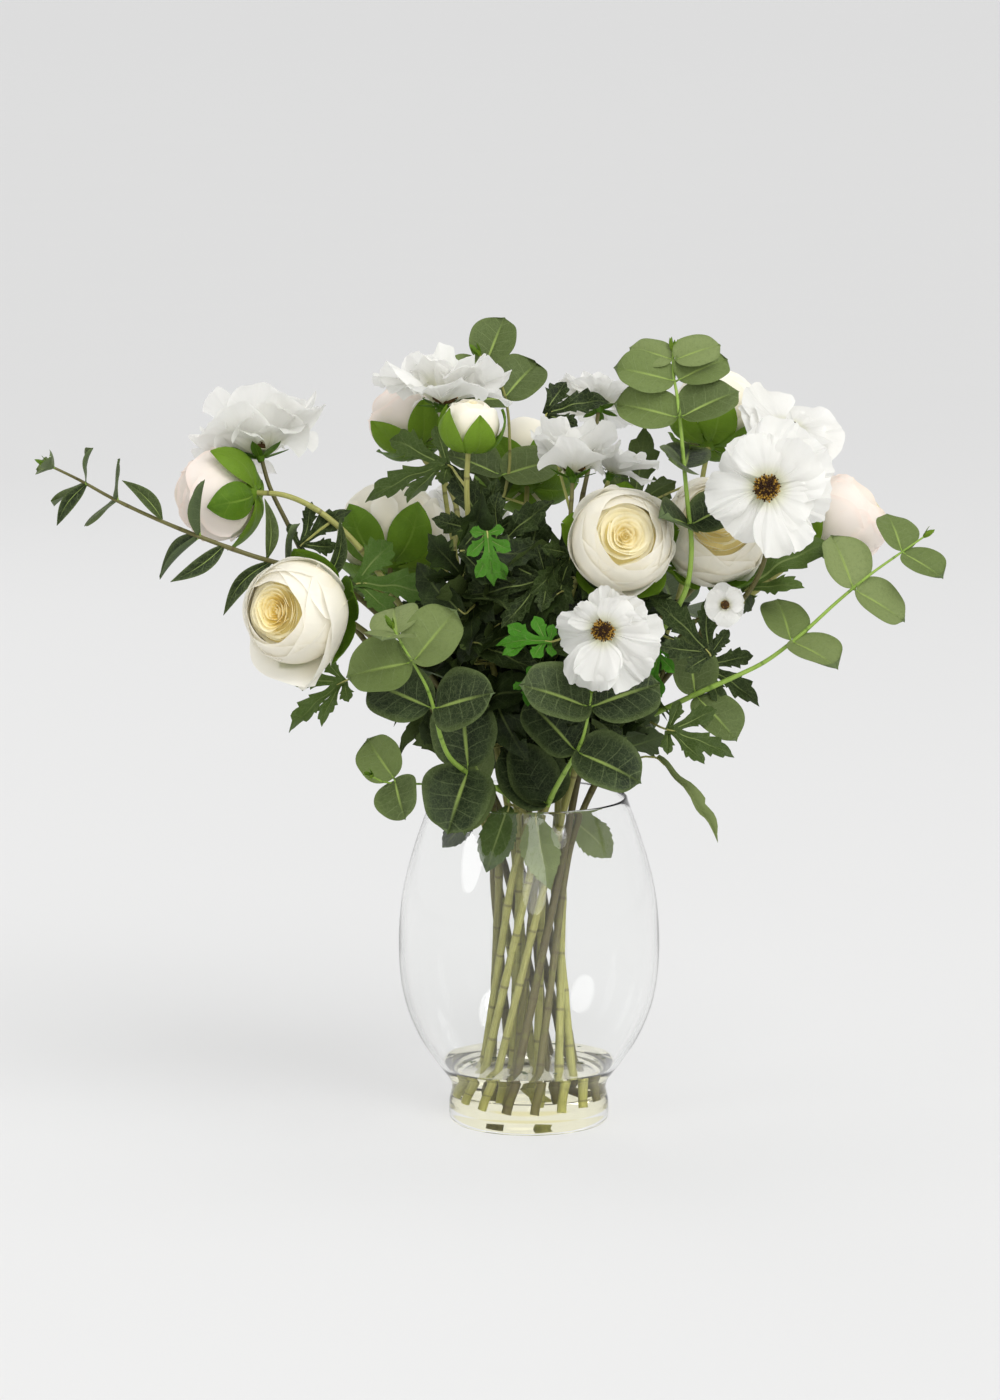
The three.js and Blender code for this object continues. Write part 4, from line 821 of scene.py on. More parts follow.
# %% The leaf finish
def leaf_finish(name, dark, light, middle, fresh, under, vein, rib, glow, slant, count, net_share,
                let_through, edge=0.0):
    """Dark to light in clouds, then middle and fresh as the tone rises; count side veins on each half."""
    material, start, (across, up, tone, face) = new_finish(name)
    side = abs(across)
    midrib = (1.0 - side.between(0.010, 0.040)) * (1.0 - up.between(0.25, 0.9) * 0.88)
    saw = (up - side * slant + side * side * 0.5).zigzag(0.5 / count)
    ribs = (1.0 - saw.between(0.0, 0.014)) * (1.0 - side.between(0.22, 0.48))
    net = vein_net(start, 0.0036) * 0.6 + vein_net(start, 0.0015) * 0.55
    cloud = start.noise(38.0, 4.0, 0.6)
    fleck = start.noise(520.0, 3.0, 0.6)
    blotch = start.noise(150.0, 3.0, 0.6)
    cover = cloud.between(0.35, 0.68) * 0.6 + blotch.between(0.4, 0.7) * 0.4
    # Painted shade: the clouds turn darker towards the midrib, where the blade folds up on both sides.
    base = (cover - (1.0 - side.between(0.0, 0.3)) * 0.3).most(0.0).mix(dark, light)
    base = tone.between(0.05, 0.65).mix(base, middle)
    base = tone.between(0.60, 0.95).mix(base, fresh)
    # Painted rim light: where edge is above 0, the margins and the tip turn to the lighter middle colour.
    base = (side.between(0.34, 0.5) * edge + up.between(0.86, 1.0) * edge * 0.7).least(1.0).mix(base, middle)
    base = ((fleck - 0.5).most(0.0) * 0.8).mix(base, dark)
    # Painted shade: below a tone of 0.05 the veins and midrib fade, down to a quarter at -0.3, as for leaves
    # deep in the heart.
    seen = 0.25 + 0.75 * tone.between(-0.3, 0.05)
    base = ((net * 0.55 * net_share + ribs * 0.22) * seen).least(0.9).mix(base, vein)
    base = (midrib * 0.80 * seen).mix(base, rib)
    base = ((1.0 - face) * 0.6).mix(base, under)
    relief = net * 0.5 + ribs * 0.6 + midrib + fleck * 0.3
    surface(start, {"Base Color": base, "Roughness": 0.38 + 0.24 * fleck,
                    "Normal": start.bump(0.5, 0.0005, relief), "Specular IOR Level": 0.16},
            glow, let_through * (0.4 + tone.between(0.1, 0.9)))
    return material


print("the midrib fades and the side veins end before the edge")

# %% Four kinds of leaf
lobed_skin = leaf_finish(
    "cut_leaf", dark=colour(22, 32, 10), light=colour(42, 57, 20), middle=colour(84, 106, 46),
    fresh=colour(72, 138, 32), under=colour(88, 104, 54), vein=colour(132, 150, 96),
    rib=colour(142, 160, 92), glow=(0.09, 0.20, 0.015, 1.0),
    slant=0.9, count=3, net_share=0.34, let_through=0.2)
# The eucalyptus leaf takes edge 0.35: painted rim light on its margins and tip.
eucalyptus_skin = leaf_finish(
    "eucalyptus_leaf", dark=colour(27, 38, 20), light=colour(56, 69, 40), middle=colour(110, 127, 70),
    fresh=colour(140, 154, 98), under=colour(96, 112, 76), vein=colour(142, 158, 106),
    rib=colour(162, 184, 98), glow=(0.12, 0.18, 0.03, 1.0),
    slant=0.55, count=5, net_share=0.30, let_through=0.16, edge=0.35)
sepal_skin = leaf_finish(
    "sepal", dark=colour(60, 94, 16), light=colour(88, 122, 28), middle=colour(108, 140, 38),
    fresh=colour(124, 154, 48), under=colour(96, 130, 44), vein=colour(126, 154, 60),
    rib=colour(126, 154, 60), glow=(0.14, 0.28, 0.02, 1.0),
    slant=0.5, count=3, net_share=0.2, let_through=0.25)
pale_skin = leaf_finish(
    "pale_leaf", dark=colour(86, 100, 54), light=colour(118, 132, 78), middle=colour(128, 142, 86),
    fresh=colour(138, 152, 94), under=colour(116, 130, 84), vein=colour(146, 158, 110),
    rib=colour(160, 172, 110), glow=(0.16, 0.22, 0.07, 1.0),
    slant=0.5, count=3, net_share=0.5, let_through=0.25)
print("leaf finishes:", [skin.name for skin in (lobed_skin, eucalyptus_skin, sepal_skin, pale_skin)])


# %% [markdown]
# ## Ranunculus heads
#
# A head is a nest of cups. The outer petals are broad and overlap, one edge over the neighbour and
# one edge under. Inside them cup follows cup, each smaller and a little deeper, down to a tight eye.
# Each petal is a piece of a ball or of a leaning wall, turned from the last by the golden angle as
# in a real flower, so no two seams lie over each other.

# %% One cupped petal of the outer ball
def smooth_steps(x, places, values):
    """A smooth curve through values at places, x from 0 to 1."""
    x = np.asarray(x, float)
    slope = np.gradient(np.array(values, float), np.array(places, float))
    k = np.clip(np.searchsorted(places, x, side="right") - 1, 0, len(places) - 2)
    p, v = np.array(places, float), np.array(values, float)
    h = p[k + 1] - p[k]
    t = (x - p[k]) / h
    return ((1 + 2 * t) * (1 - t) ** 2 * v[k] + t * (1 - t) ** 2 * h * slope[k]
            + t * t * (3 - 2 * t) * v[k + 1] + t * t * (t - 1) * h * slope[k + 1])


def ball(radius, theta, phi):
    """Points from a radius, an angle from the third axis and an angle round it, in degrees and radians."""
    radius, theta, phi = np.broadcast_arrays(radius, np.radians(theta), phi)
    return np.stack([radius * np.sin(theta) * np.cos(phi), radius * np.sin(theta) * np.sin(phi),
                     radius * np.cos(theta)], -1)


LIP = 0.060


def cup_petal(rng, rows, cols, middle, wide, low, high, radii, wave, corner=0.22):
    """A petal of the outer ball; lengths are shares of the head's radius, angles from the third axis."""
    v, c = sheet(rows, cols)
    phi = middle + c * wide * smooth_steps(v, [0, 0.3, 0.65, 1.0], [0.45, 0.88, 1.0, 0.94])
    a, b = rng.uniform(*WAVE, 2)
    rim = wave * (np.sin(2.6 * c + a) + 0.5 * np.sin(6.7 * c + b))
    reach = v * (1 - 0.4 * corner * c ** 2 - corner * np.abs(c) ** 4 + rim * v ** 3)
    radius = smooth_steps(v, [0, 0.33, 0.66, 1.0], radii) + LIP * v ** 14
    radius = radius + rng.choice([-0.028, 0.028]) * c + wave * v ** 2 * np.sin(4.4 * c + b)
    radius = radius + 0.012 * np.sin(3.0 * c + 2.2 * v + a)
    return ball(radius, blend(low, high, reach), phi), c, v


print("the lip of a cupped petal flares by", LIP, "of the head's radius")


# %% One petal of the nest in the middle
def nest_petal(rng, rows, cols, middle, wide, mouth, height, depth, shift):
    """A leaning wall whose rim is a piece of a circle of radius mouth, at this height."""
    v, c = sheet(rows, cols)
    a, b = rng.uniform(*WAVE, 2)
    phi = middle + c * wide
    rho = mouth * (0.42 + 0.66 * v - 0.08 * v ** 3 + 0.05 * np.sin(2.8 * c + a) * v)
    rho = rho + 0.014 * np.sin(7.0 * c + b) * v ** 2 + rng.uniform(-0.02, 0.02) * c
    z = height - depth * (1 - v) - (0.03 * c ** 2 + 0.16 * np.abs(c) ** 6) * v ** 2 * (0.3 + mouth)
    z = z + 0.022 * np.sin(3.3 * c + b) * v + 0.010 * np.sin(9.0 * c + a) * v ** 3
    return layers(rho * np.cos(phi) + shift[0] * v, rho * np.sin(phi) + shift[1] * v, z), c, v


wall = nest_petal(dice("try"), 8, 22, 0, math.radians(98), 0.5, 0.8, 0.4, (0, 0))[0]
print("a wall of the nest spans", np.ptp(wall.reshape(-1, 3), axis=0).round(2), "of the head's radius")


# %% A whole head: the angle of each petal's rim from the middle, for a bud and for a full head
SMALL_HEAD = 20
GUARDS = 5
GOLDEN_TURN = math.radians(137.5)
BUD_RIMS = [44, 40, 36, 33, 30, 27, 24, 21]
FULL_RIMS = [84, 80, 76, 72, 68, 63, 59, 55, 51.5, 48, 45, 42, 39.5, 37.5, 36, 35, 34]
CORE_RADII = [0.56, 0.62, 0.72, 0.78, 0.80, 0.80, 0.80, 0.80]
CORE_ANGLES = [0.1, 18, 32, 43, 61, 90, 130, 179.9]


def petals_of(f):
    bundle = Bundle()
    rng = dice("ranunculus " + f["id"])
    axes = frame_at(f.get("nod", f["face"]), ord(f["id"]))
    centre, r = np.array(f["at"], float), f["r"]
    sag, wide_open, small = f.get("sag", 0), f.get("open", 0.0), r < SMALL_HEAD
    turn = ord(f["id"]) * 1.3

    def place(made, depth, droop, finish=0):
        points, c, v = made
        world = centre + (points * r) @ axes
        if sag and droop:
            below = np.maximum(0, centre[2] - world[..., 2]) / r
            world[..., 2] -= sag * below * np.clip(v * 1.5 - 0.5, 0, 1)
        bundle.petal(world, layers(c * 0.5, v, depth), finish)

    # the outer cups: broad guard petals first
    rims = BUD_RIMS if small else FULL_RIMS
    for k, rim in enumerate(rims):
        q = k / (len(rims) - 1)
        out = 1.0 - 0.075 * q
        low = 166 if k < GUARDS else 140
        guard = k < GUARDS and not small
        radii = [out * 0.78, out * 0.97, out * 1.03, out * (1.03 if guard else 0.99)]
        made = cup_petal(rng, 16, 22, turn + k * GOLDEN_TURN, math.radians(60 if guard else 72), low,
                         rim + rng.uniform(-1, 1) * (3 if q < 0.7 else 1) + 8 * wide_open * q, radii,
                         0.042 if guard else 0.020, 0.22 if guard else 0.13)
        place(made, 0.25 * q, k <= GUARDS)
    # the nest, with a few petals hidden behind the cups
    hidden = 0 if small else 5
    count = 6 if small else 21
    gold = f.get("gold", 0.5)
    shift = rng.normal(0, 0.02, 2)
    for k in range(-hidden, count):
        q = max(0, k) / (count - 1)
        mouth = (0.30 if small else 0.55 + 0.10 * wide_open) * (1 - 0.95 * q ** 1.15)
        mouth *= rng.uniform(0.96, 1.03)
        mouth += 0.035 * max(0, -k)
        height = (0.90 if small else 0.70 + 0.26 * mouth) - 0.30 * wide_open * (0.58 - mouth)
        height = min(height, math.sqrt(max(0.2, 0.80 - mouth ** 2)))
        made = nest_petal(rng, 8, 22, turn + (k + len(rims)) * GOLDEN_TURN, math.radians(98), mouth,
                          height + rng.uniform(-0.03, 0.02), 0.18 + 0.5 * mouth, shift * q)
        place(made, gold * min(1, 0.25 + 1.2 * q), False, 1)
    # a core that shows as the deepest layer
    core = ball(np.array(CORE_RADII)[:, None], np.array(CORE_ANGLES)[:, None], ring_of(20)[None])
    bundle.grid(centre + (core * r) @ axes, (0.0, 0.4, 0.6), 1, around=True)
    outer = cream if f["tint"] == "cream" else blush
    piece = bundle.build("ranunculus_" + f["id"] + "_bloom", [outer, golden])
    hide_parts("ranunculus_" + f["id"] + "_petals")
    return piece


blooms = [petals_of(f) for f in RANUNCULUS]
print("ranunculus:", sum(len(b.data.polygons) for b in blooms), "faces")


# %% [markdown]
# ## Cosmos heads
#
# Seven broad petals spring from a small ring, with a few shorter ones over them. They overlap, they
# are pleated along their length, and their outer edge is frilled and notched. Every wave is a sine
# of the place across the petal that grows towards the edge. One that is seen from the front lies
# flatter, with sharper notches, than one that is seen from below.

# %% A whole cosmos
FLAT = 15
STEEPEST = 62


def cosmos_of(f):
    bundle = Bundle()
    rng = dice("cosmos " + f["id"])
    axes = frame_at(f.get("nod", f["face"]), ord(f["id"]) * 0.7)
    centre, r, n = np.array(f["at"], float), f["r"] * f.get("grow", 1.0), f["n"] + f.get("more", 0)
    small, flat = r < SMALL_HEAD, f["rise"] < FLAT
    rise = f.get("lift", f["rise"])
    first = 0.16 if small else 0.13
    v, s = sheet(12, 14) if small else sheet(20, 36)
    c = 0.5 * s
    airy = f.get("airy", 0)
    inner = 3 if flat else n - 1
    spread = [0.85, 1.55, 1.95, 1.90] if flat else [0.85, 1.7, 2.25, 2.4]
    spread = [0.80, 1.25, 1.55, 1.42] if airy else spread
    fine = 1.0 if flat else 0.3
    frill = np.clip((v - 0.55) / 0.45, 0, 1) ** 2
    for k in range(n + inner):
        # where it grows, how long it is and how steeply it rises
        upper = k >= n
        count = inner + 2 if upper else n
        a, b, d, e = rng.uniform(*WAVE, 4)
        middle = 2 * math.pi * (k + (0.5 if upper else 0.0) + rng.uniform(-0.16, 0.16)) / count
        lean = np.array([math.cos(middle), math.sin(middle), 0]) @ axes
        long = rng.uniform(0.66, 0.86) if upper else rng.uniform(0.92 - 0.08 * airy, 1.05 + 0.07 * airy)
        long = long + np.dot(lean, f.get("pull", (0, 0, 0)))
        front = k % 2
        tip = rise + rng.uniform(-6, 6) + (5 if front else -4) + rng.uniform(-34, 16) * f.get("shaggy", 0)
        tip += f.get("crown", 13) * rng.uniform(0.6, 1.2) if upper else 0
        tip = min(tip, STEEPEST)
        shrink = min(1.0, math.cos(math.radians(tip)) / math.cos(math.radians(30)))
        # its outline, with notches in the edge
        wide = smooth_steps(v, [0, 0.25, 0.65, 1.0], spread) * rng.uniform(0.78, 1.10)
        phi = middle + 2 * math.pi * c * wide / count + 0.06 * np.sin(3 * v + a) * v
        cut, deep = rng.uniform(-0.7, 0.7, 3), rng.uniform(0.0, 0.045, 3) * fine
        notch = sum(-deep[j] * np.exp(-((s - cut[j]) / 0.06) ** 2) for j in range(3))
        round_off = 0.09 * s ** 2 + 0.20 * s ** 4 if flat else 0.05 * s ** 2 + 0.20 * s ** 6
        edge = 1.0 - round_off + notch + 0.014 * np.sin(5 * s + a) + 0.010 * fine * np.sin(31 * s + b)
        rho = first + (long * edge - first) * v * shrink
        # its height: a slope, a fold, creases, pleats and a frilled edge
        fold = rng.choice([-1, 1]) * (rng.uniform(0.10, 0.34) if flat else rng.uniform(0.0, 0.12))
        tall = (rho - first) * math.tan(math.radians(tip)) + (0.055 if front else -0.02)
        tall = tall + (0.05 if upper else 0)
        tall = tall + fold * s * np.abs(s) * v ** 1.5 * 0.5 + 0.05 * s * np.minimum(1, rho)
        tall = tall + rng.uniform(-0.26, 0.04) * v ** 2.5 - 0.06 * s ** 2 * v
        places = rng.uniform(-0.85, 0.85, 4)
        tall = tall + rho * sum(-0.045 * fine ** 0.5 * np.exp(-((s - x) / 0.05) ** 2) for x in places)
        pleats = 0.020 * np.sin(13 * s + e) + 0.010 * np.sin(23 * s + a) * v
        tall = tall + rho * (0.050 * np.sin(3.4 * s + d) + fine ** 0.5 * pleats)
        ruffle = (0.045 * np.sin(11 * s + a + 2 * v) + 0.016 * np.sin(27 * s + d) * v) * fine
        ruffle = ruffle + (0.095 + 0.05 * airy if rise < 15 else 0.085) * np.sin(4.6 * s + b)
        tall = tall + frill * (ruffle - 0.03) + 0.03 * np.sin(4 * v + a) * v
        sway = frill * 0.05 * np.cos(9 * s + e)
        points = layers(rho * np.cos(phi + sway), rho * np.sin(phi + sway), tall)
        bundle.petal(centre + (points * r) @ axes, layers(c, rho, k / 20), 0)
    # the small disc under the button
    disc = turned_body([0.01, 0.5, 1.0, 1.0, 0.01], [0.35, 0.35, 0.35, -0.35, -0.35], 16)
    disc = disc * np.array([first * r * 1.1, first * r * 1.1, 1.0])
    bundle.grid(centre + disc @ axes, (0.0, 0.1, 0.0), 0, around=True, flip=True)
    piece = bundle.build("cosmos_" + f["id"] + "_bloom", [white])
    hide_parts("cosmos_" + f["id"] + "_petals")
    return piece


cosmos_blooms = [cosmos_of(f) for f in COSMOS]
print("cosmos:", sum(len(b.data.polygons) for b in cosmos_blooms), "faces")


# %% [markdown]
# ## Buttons of the cosmos
#
# The dark middle is a dome of short threads, each with a knob at its end, yellow ones mostly at the
# rim. Threads set out at equal turns of one angle fill a disc evenly, as seeds do in a flower head.

# %% A button: a low dome, threads and knobs
SEED_TURN = 2.39996
DOME_RADII = np.array([0.02, 0.8, 0.95, 0.80, 0.45, 0.02])
DOME_HEIGHTS = np.array([0, 0.0, 0.25, 0.5, 0.66, 0.7])


def button_of(f):
    bundle = Bundle()
    rng = dice("button " + f["id"])
    axes = frame_at(f["face"], 0.2)
    centre = np.array(f["at"], float)
    r = min(0.19 * f["r"], 7.4) + 0.4
    low = 0.9
    threads = 40 if r < 3 else 130
    dome = turned_body(DOME_RADII * r, DOME_HEIGHTS * r + low - 0.3, 12)
    bundle.grid(centre + dome @ axes, (0, 0, 0.1), 0, around=True)
    for i in range(threads):
        q = math.sqrt((i + 0.5) / threads)
        phi = i * SEED_TURN
        lean = q * 1.15
        root = np.array([math.cos(phi) * q * r * 0.9, math.sin(phi) * q * r * 0.9,
                         low - 0.3 + r * 0.7 * math.sqrt(max(0.05, 1 - q * q * 0.85))])
        way = np.array([math.cos(phi) * math.sin(lean), math.sin(phi) * math.sin(lean), math.cos(lean)])
        long = r * rng.uniform(0.10, 0.22)
        fat = r * rng.uniform(0.055, 0.085)
        likely, lit, dull = (0.55, 0.9, 0.1) if 0.55 < q else (0.25, 0.35, 0.02)
        bright = lit if rng.uniform() < likely else dull
        path = [root - way * 0.3, root + way * long * 0.5, root + way * long, root + way * (long + fat)]
        radii = [fat * 0.7, fat * 0.7, fat * 1.15, fat * 0.5]
        bundle.tube(centre + np.array(path) @ axes, radii, 5, 0, bright)
    piece = bundle.build("cosmos_" + f["id"] + "_heart", [button], crease=80)
    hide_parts("cosmos_" + f["id"] + "_button")
    return piece


hearts = [button_of(f) for f in COSMOS]
print("buttons:", sum(len(b.data.polygons) for b in hearts), "faces")


# %% [markdown]
# ## Leaves find their coarse form
#
# Each packed leaf took the first turn and size at which it was clear of its neighbours. The fine
# leaf has to lie where the coarse one does, so all those choices are tried again and the one whose
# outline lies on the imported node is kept.

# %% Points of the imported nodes, for finding which choice a leaf took
def node_points(name):
    """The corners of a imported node, in millimetres, in a tree that finds the nearest."""
    mesh = frame["nodes"][name].data
    coords = np.zeros(len(mesh.vertices) * 3)
    mesh.vertices.foreach_get("co", coords)
    coords = coords.reshape(-1, 3) * METRE
    tree = KDTree(len(coords))
    for i, p in enumerate(coords):
        tree.insert(p, i)
    tree.balance()
    return tree


def node_of(s):
    """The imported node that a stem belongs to: a side stem is part of its main stem."""
    return (s["parent"] or s)["name"] + "_stem"


trees = {name: node_points(name) for name in sorted({node_of(s) for s in stems})}


def best_choice(tree, choices, outline):
    """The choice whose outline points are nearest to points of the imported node."""
    scores = [float(np.mean([tree.find(p)[2] for p in outline(choice)])) for choice in choices]
    best = int(np.argmin(scores))
    return choices[best], scores[best]


TURNS = [(math.radians(turn), size) for size in (1, 0.8)
         for turn in (0, 15, -15, 30, -30, 45, -45, 65, -65, 90, -90, 130)]
SHIFTS = [(y, math.radians(turn), size) for size in (1, 0.8)
          for y in (0, -7, 7, -14, 14, -22, 22, -30, 30, 40) for turn in (0, 25, -25)]
print(len(trees), "packed stems;", len(TURNS), "choices for a eucalyptus leaf,", len(SHIFTS), "for a cut one")


# %% A blade: where a point of the leaf's own plan lies in space
def oval_axes(s, pair, half, choice):
    """Root, three axes, length and width of one leaf of a eucalyptus pair."""
    t, length, width, turn0 = pair
    turn, size = choice
    at, tangent = on_rod(s, t), way_along(s, t)
    look = unit(s["own"]["look"])
    side = unit(np.cross(look, tangent))
    way = turned(side, tangent, math.radians(turn0) + math.pi * half + turn)
    x = unit(way * 0.9 + tangent * 0.38)
    face = tangent * (1 - s["own"]["lie"]) + look * s["own"]["lie"]
    n = unit(face - x * face.dot(x))
    return at, x, np.cross(n, x), n, length * size, width * size


def oval_point(axes, along_it, across_it):
    """Points of such a leaf: along_it from 0 to 1, across_it in shares of its width."""
    at, x, y, n, length, width = axes
    along_it, across_it = np.broadcast_arrays(along_it, across_it)
    up = -0.10 * length * along_it ** 2 + np.abs(across_it) * width * 0.16
    return at + x * (length * along_it)[..., None] + y * (across_it * width)[..., None] + n * up[..., None]


def lobed_axes(leaf, choice):
    """Root on the stem, middle, three axes and length of a cut leaf."""
    name, middle, length, tip, face = leaf[:5]
    y, turn, size = choice
    s = by_name[name]
    m = np.array(middle, float) + np.array([0, y, 0])
    best, best_reach = 0.1, None
    t = 0.1
    while t < 0.92:
        p = along(s["points"], t)
        reach_now = np.linalg.norm(p - m) + 0.5 * max(0, p[2] - m[2])
        if best_reach is None or reach_now < best_reach:
            best, best_reach = t, reach_now
        t += 0.04
    face = unit(face)
    x = turned(unit(tip), face, turn)
    n = unit(face - x * face.dot(x))
    return on_rod(s, best), m, x, np.cross(n, x), n, length * size


def lobed_point(axes, along_it, across_it):
    """Points of a cut leaf's plan, bent back along and folded up at the sides."""
    _, m, x, y, n, length = axes
    along_it, across_it = np.broadcast_arrays(along_it, across_it)
    width = length * 0.95
    up = -0.16 * length * along_it ** 2 + np.abs(across_it) * width * 0.22
    up = up + 0.02 * length * np.sin(along_it * 17)
    flat = m + x * (length * (along_it - 0.5))[..., None] + y * (width * across_it)[..., None]
    return flat + n * up[..., None]


print("the first cut leaf grows from", lobed_axes(LOBED[0], SHIFTS[0])[0].round(1), "mm")


# %% Match every leaf to its coarse form
OVAL_ALONG, OVAL_ACROSS = np.array([0.36, 0.36, 0.74, 0.74, 1.0]), np.array([0.48, -0.48, 0.42, -0.42, 0.0])
oval_leaves, lobed_leaves, distances = [], [], []
for s in stems:
    for pair in s["own"].get("pairs", []):
        for half in (0, 1):
            choice, score = best_choice(
                trees[node_of(s)], TURNS,
                lambda choice: oval_point(oval_axes(s, pair, half, choice), OVAL_ALONG, OVAL_ACROSS))
            oval_leaves.append((s, pair, half, choice))
            distances.append(score)
for leaf in LOBED:
    spots = ([1.0, 0.25], [0.0, 0.085]) if leaf[5] == STRAP else ([1.0, 0.5], [0.0, 0.0])
    spots = [np.array(places) for places in spots]
    choice, score = best_choice(trees[node_of(by_name[leaf[0]])], SHIFTS,
                                lambda choice: lobed_point(lobed_axes(leaf, choice), *spots))
    lobed_leaves.append((leaf, choice))
    distances.append(score)
print(len(distances), "leaves matched, furthest outline", round(max(distances), 2), "mm from the packed one")


# %% [markdown]
# ## Rods with joints
#
# A stem is a plastic-covered wire: a smooth rod, thicker at its joints. Five of the eucalyptus
# branches are fresh green shoots above the vase, and dull where they stand in it. A rod is a ring
# carried along a path, and the ring is never twisted, because each new side comes from the last one.
# A curve object with a bevel would look the same, but the stem and its leaves are to be one mesh.

# %% The smooth rod of a stem
STEM, LEAF, SEPAL, PALE, SHOOT = range(5)
SHOOTS = ("eucalyptus_a", "eucalyptus_d", "eucalyptus_e", "eucalyptus_f", "eucalyptus_g")
BROWN_STEMS = ("cosmos_f", "ranunculus_e", "cosmos_i", "eucalyptus_h")
GREEN_FROM = 205
ROD_SIDES = 12


def smooth_path(knots, per):
    """A smooth path through the knots, with this many steps from one to the next."""
    knots = [np.array(p, float) for p in knots]
    places = [k + j / per for k in range(len(knots) - 1) for j in range(per)]
    return np.array([through(knots, x) for x in places] + [knots[-1]])


def add_stem(bundle, s):
    """The rod of one stem, a little thicker at each joint."""
    rng = dice("stem " + s["name"])
    slim = s["own"].get("rod", 0.70) if s["name"].startswith("eucalyptus") else 0.82
    tone = rng.uniform(0.0, 0.92)
    tone = 0.85 if s["name"] in BROWN_STEMS else tone
    tone = 0.0 if s["name"] in SHOOTS else tone
    if s["parent"]:
        path = smooth_path(s["points"][::2], 4)
        radii = np.linspace(s["r0"], s["r1"], len(path)) * slim
    else:
        in_vase = [s["foot"] + s["slope"] * z for z in (STEM_FOOT, 45, 80, 115)]
        path = smooth_path(in_vase + list(s["points"][::2]), 5)
        radii = np.interp(np.arange(len(path)), [0, 20, len(path) - 1],
                          [s["r0"] + 0.2, s["r0"] * 0.95, s["r1"] * slim])
    length = lengths_along(path)
    start = rng.uniform(0, 30)
    from_joint = np.abs((length + start + JOINT / 2) % JOINT - JOINT / 2)
    radii = radii * (1 + 0.14 * np.exp(-(from_joint / 1.4) ** 2))
    green = int(np.sum(path[:, 2] < GREEN_FROM)) if s["name"] in SHOOTS else len(path)
    if green > 1:
        bare_tone = 0.35 if s["name"] in SHOOTS else tone
        bundle.tube(path[:green], radii[:green], ROD_SIDES, STEM, bare_tone, start)
    if green < len(path) - 1:
        first = max(0, green - 1)
        bundle.tube(path[first:], radii[first:], ROD_SIDES, SHOOT, tone, start + length[first])


print("rods turn green at", GREEN_FROM, "mm on", len(SHOOTS), "shoots")


# %% [markdown]
# ## Eucalyptus leaves
#
# Eucalyptus carries its leaves in pairs: round, a little cupped, waved at the edge and bent back at
# the tip. The blade is a sheet whose width follows a circle, pushed along its normal by low waves. A
# flat cut-out with a bend modifier would do for one leaf, but here each differs.

# %% One eucalyptus leaf
def add_oval(bundle, s, pair, half, choice):
    """An oval blade with its own bulge and curl, on a short stalk."""
    at, x, y, n, length, width = oval_axes(s, pair, half, choice)
    rng = dice("leaf %s %d %s" % (s["name"], half, pair[0]))
    grow = s["own"].get("grow", 1.06)
    length, width = length * grow, width * grow * s["own"].get("slim", 1.0)
    axes = (at, x, y, n, length, width)
    # the outline
    v, c = sheet(24, 15, eased=True)
    side = np.abs(c)
    pinch = 1.3 if width / length < 0.6 else 0.90
    a, b = rng.uniform(*WAVE, 2)
    bulge = np.sqrt(np.maximum(0, 1 - ((v - 0.5) / 0.5) ** 2)) ** pinch * 0.54 * (1.06 - 0.12 * v)
    waves = 1 + 0.035 * np.sin(5 * v + b) + 0.02 * np.sin(11 * v + a) * np.sign(c)
    bulge = np.maximum(bulge, 0.012) * waves
    share = 0.06 + 0.98 * v - 0.05 * side * np.exp(-((1 - v) / 0.12) ** 2) - 0.04 * c ** 2 * (1 - v) ** 3
    points = oval_point(axes, share, c * bulge)
    # the curl
    cup = rng.uniform(-0.02, 0.10)
    curl = 0.018 * np.sin(5 * v + a) * side + 0.045 * side ** 3 * np.sin(4 * v + b)
    curl = curl - rng.uniform(0, 0.09) * v ** 3
    curl = length * (curl + cup * c ** 2 + rng.uniform(-0.03, 0.03) * c)
    points = points + n * (curl - 0.03 * width * np.exp(-(c / 0.10) ** 2))[..., None]
    points = points - n * (np.abs(c * bulge) * width * 0.16 * v ** 6)[..., None]
    tone = s["own"]["tones"][s["own"]["pairs"].index(pair)] + rng.normal(0, 0.10)
    bundle.leaf(points, layers(c * 0.5, v, float(np.clip(tone, 0, 1))), LEAF)
    stalk = oval_point(axes, np.array([0.03, 0.10]), 0.0)
    bundle.tube([at, *stalk], [0.75, 0.6, 0.35], 6, SHOOT, 0.0)


print(len(oval_leaves), "eucalyptus leaves to make")


# %% Long narrow leaves on the left branch
# share of the way, length, half width, way, tone
NARROW = [
    (0.47, 42, 4.6, (0.30, -0.25, 0.95), 0.15), (0.50, 50, 5.2, (-0.42, -0.40, -0.85), 0.0),
    (0.55, 44, 4.8, (-0.62, -0.20, -0.70), 0.1), (0.56, 36, 4.2, (0.02, -0.10, 1.0), 0.3),
    (0.63, 40, 5.0, (-0.70, -0.45, -0.45), 0.05), (0.74, 34, 4.6, (-0.60, -0.30, 0.72), 0.25),
    (0.90, 30, 4.4, (-0.55, -0.2, -0.80), 0.1)]
NARROW_FACE = np.array([0.35, -0.9, 0.25])


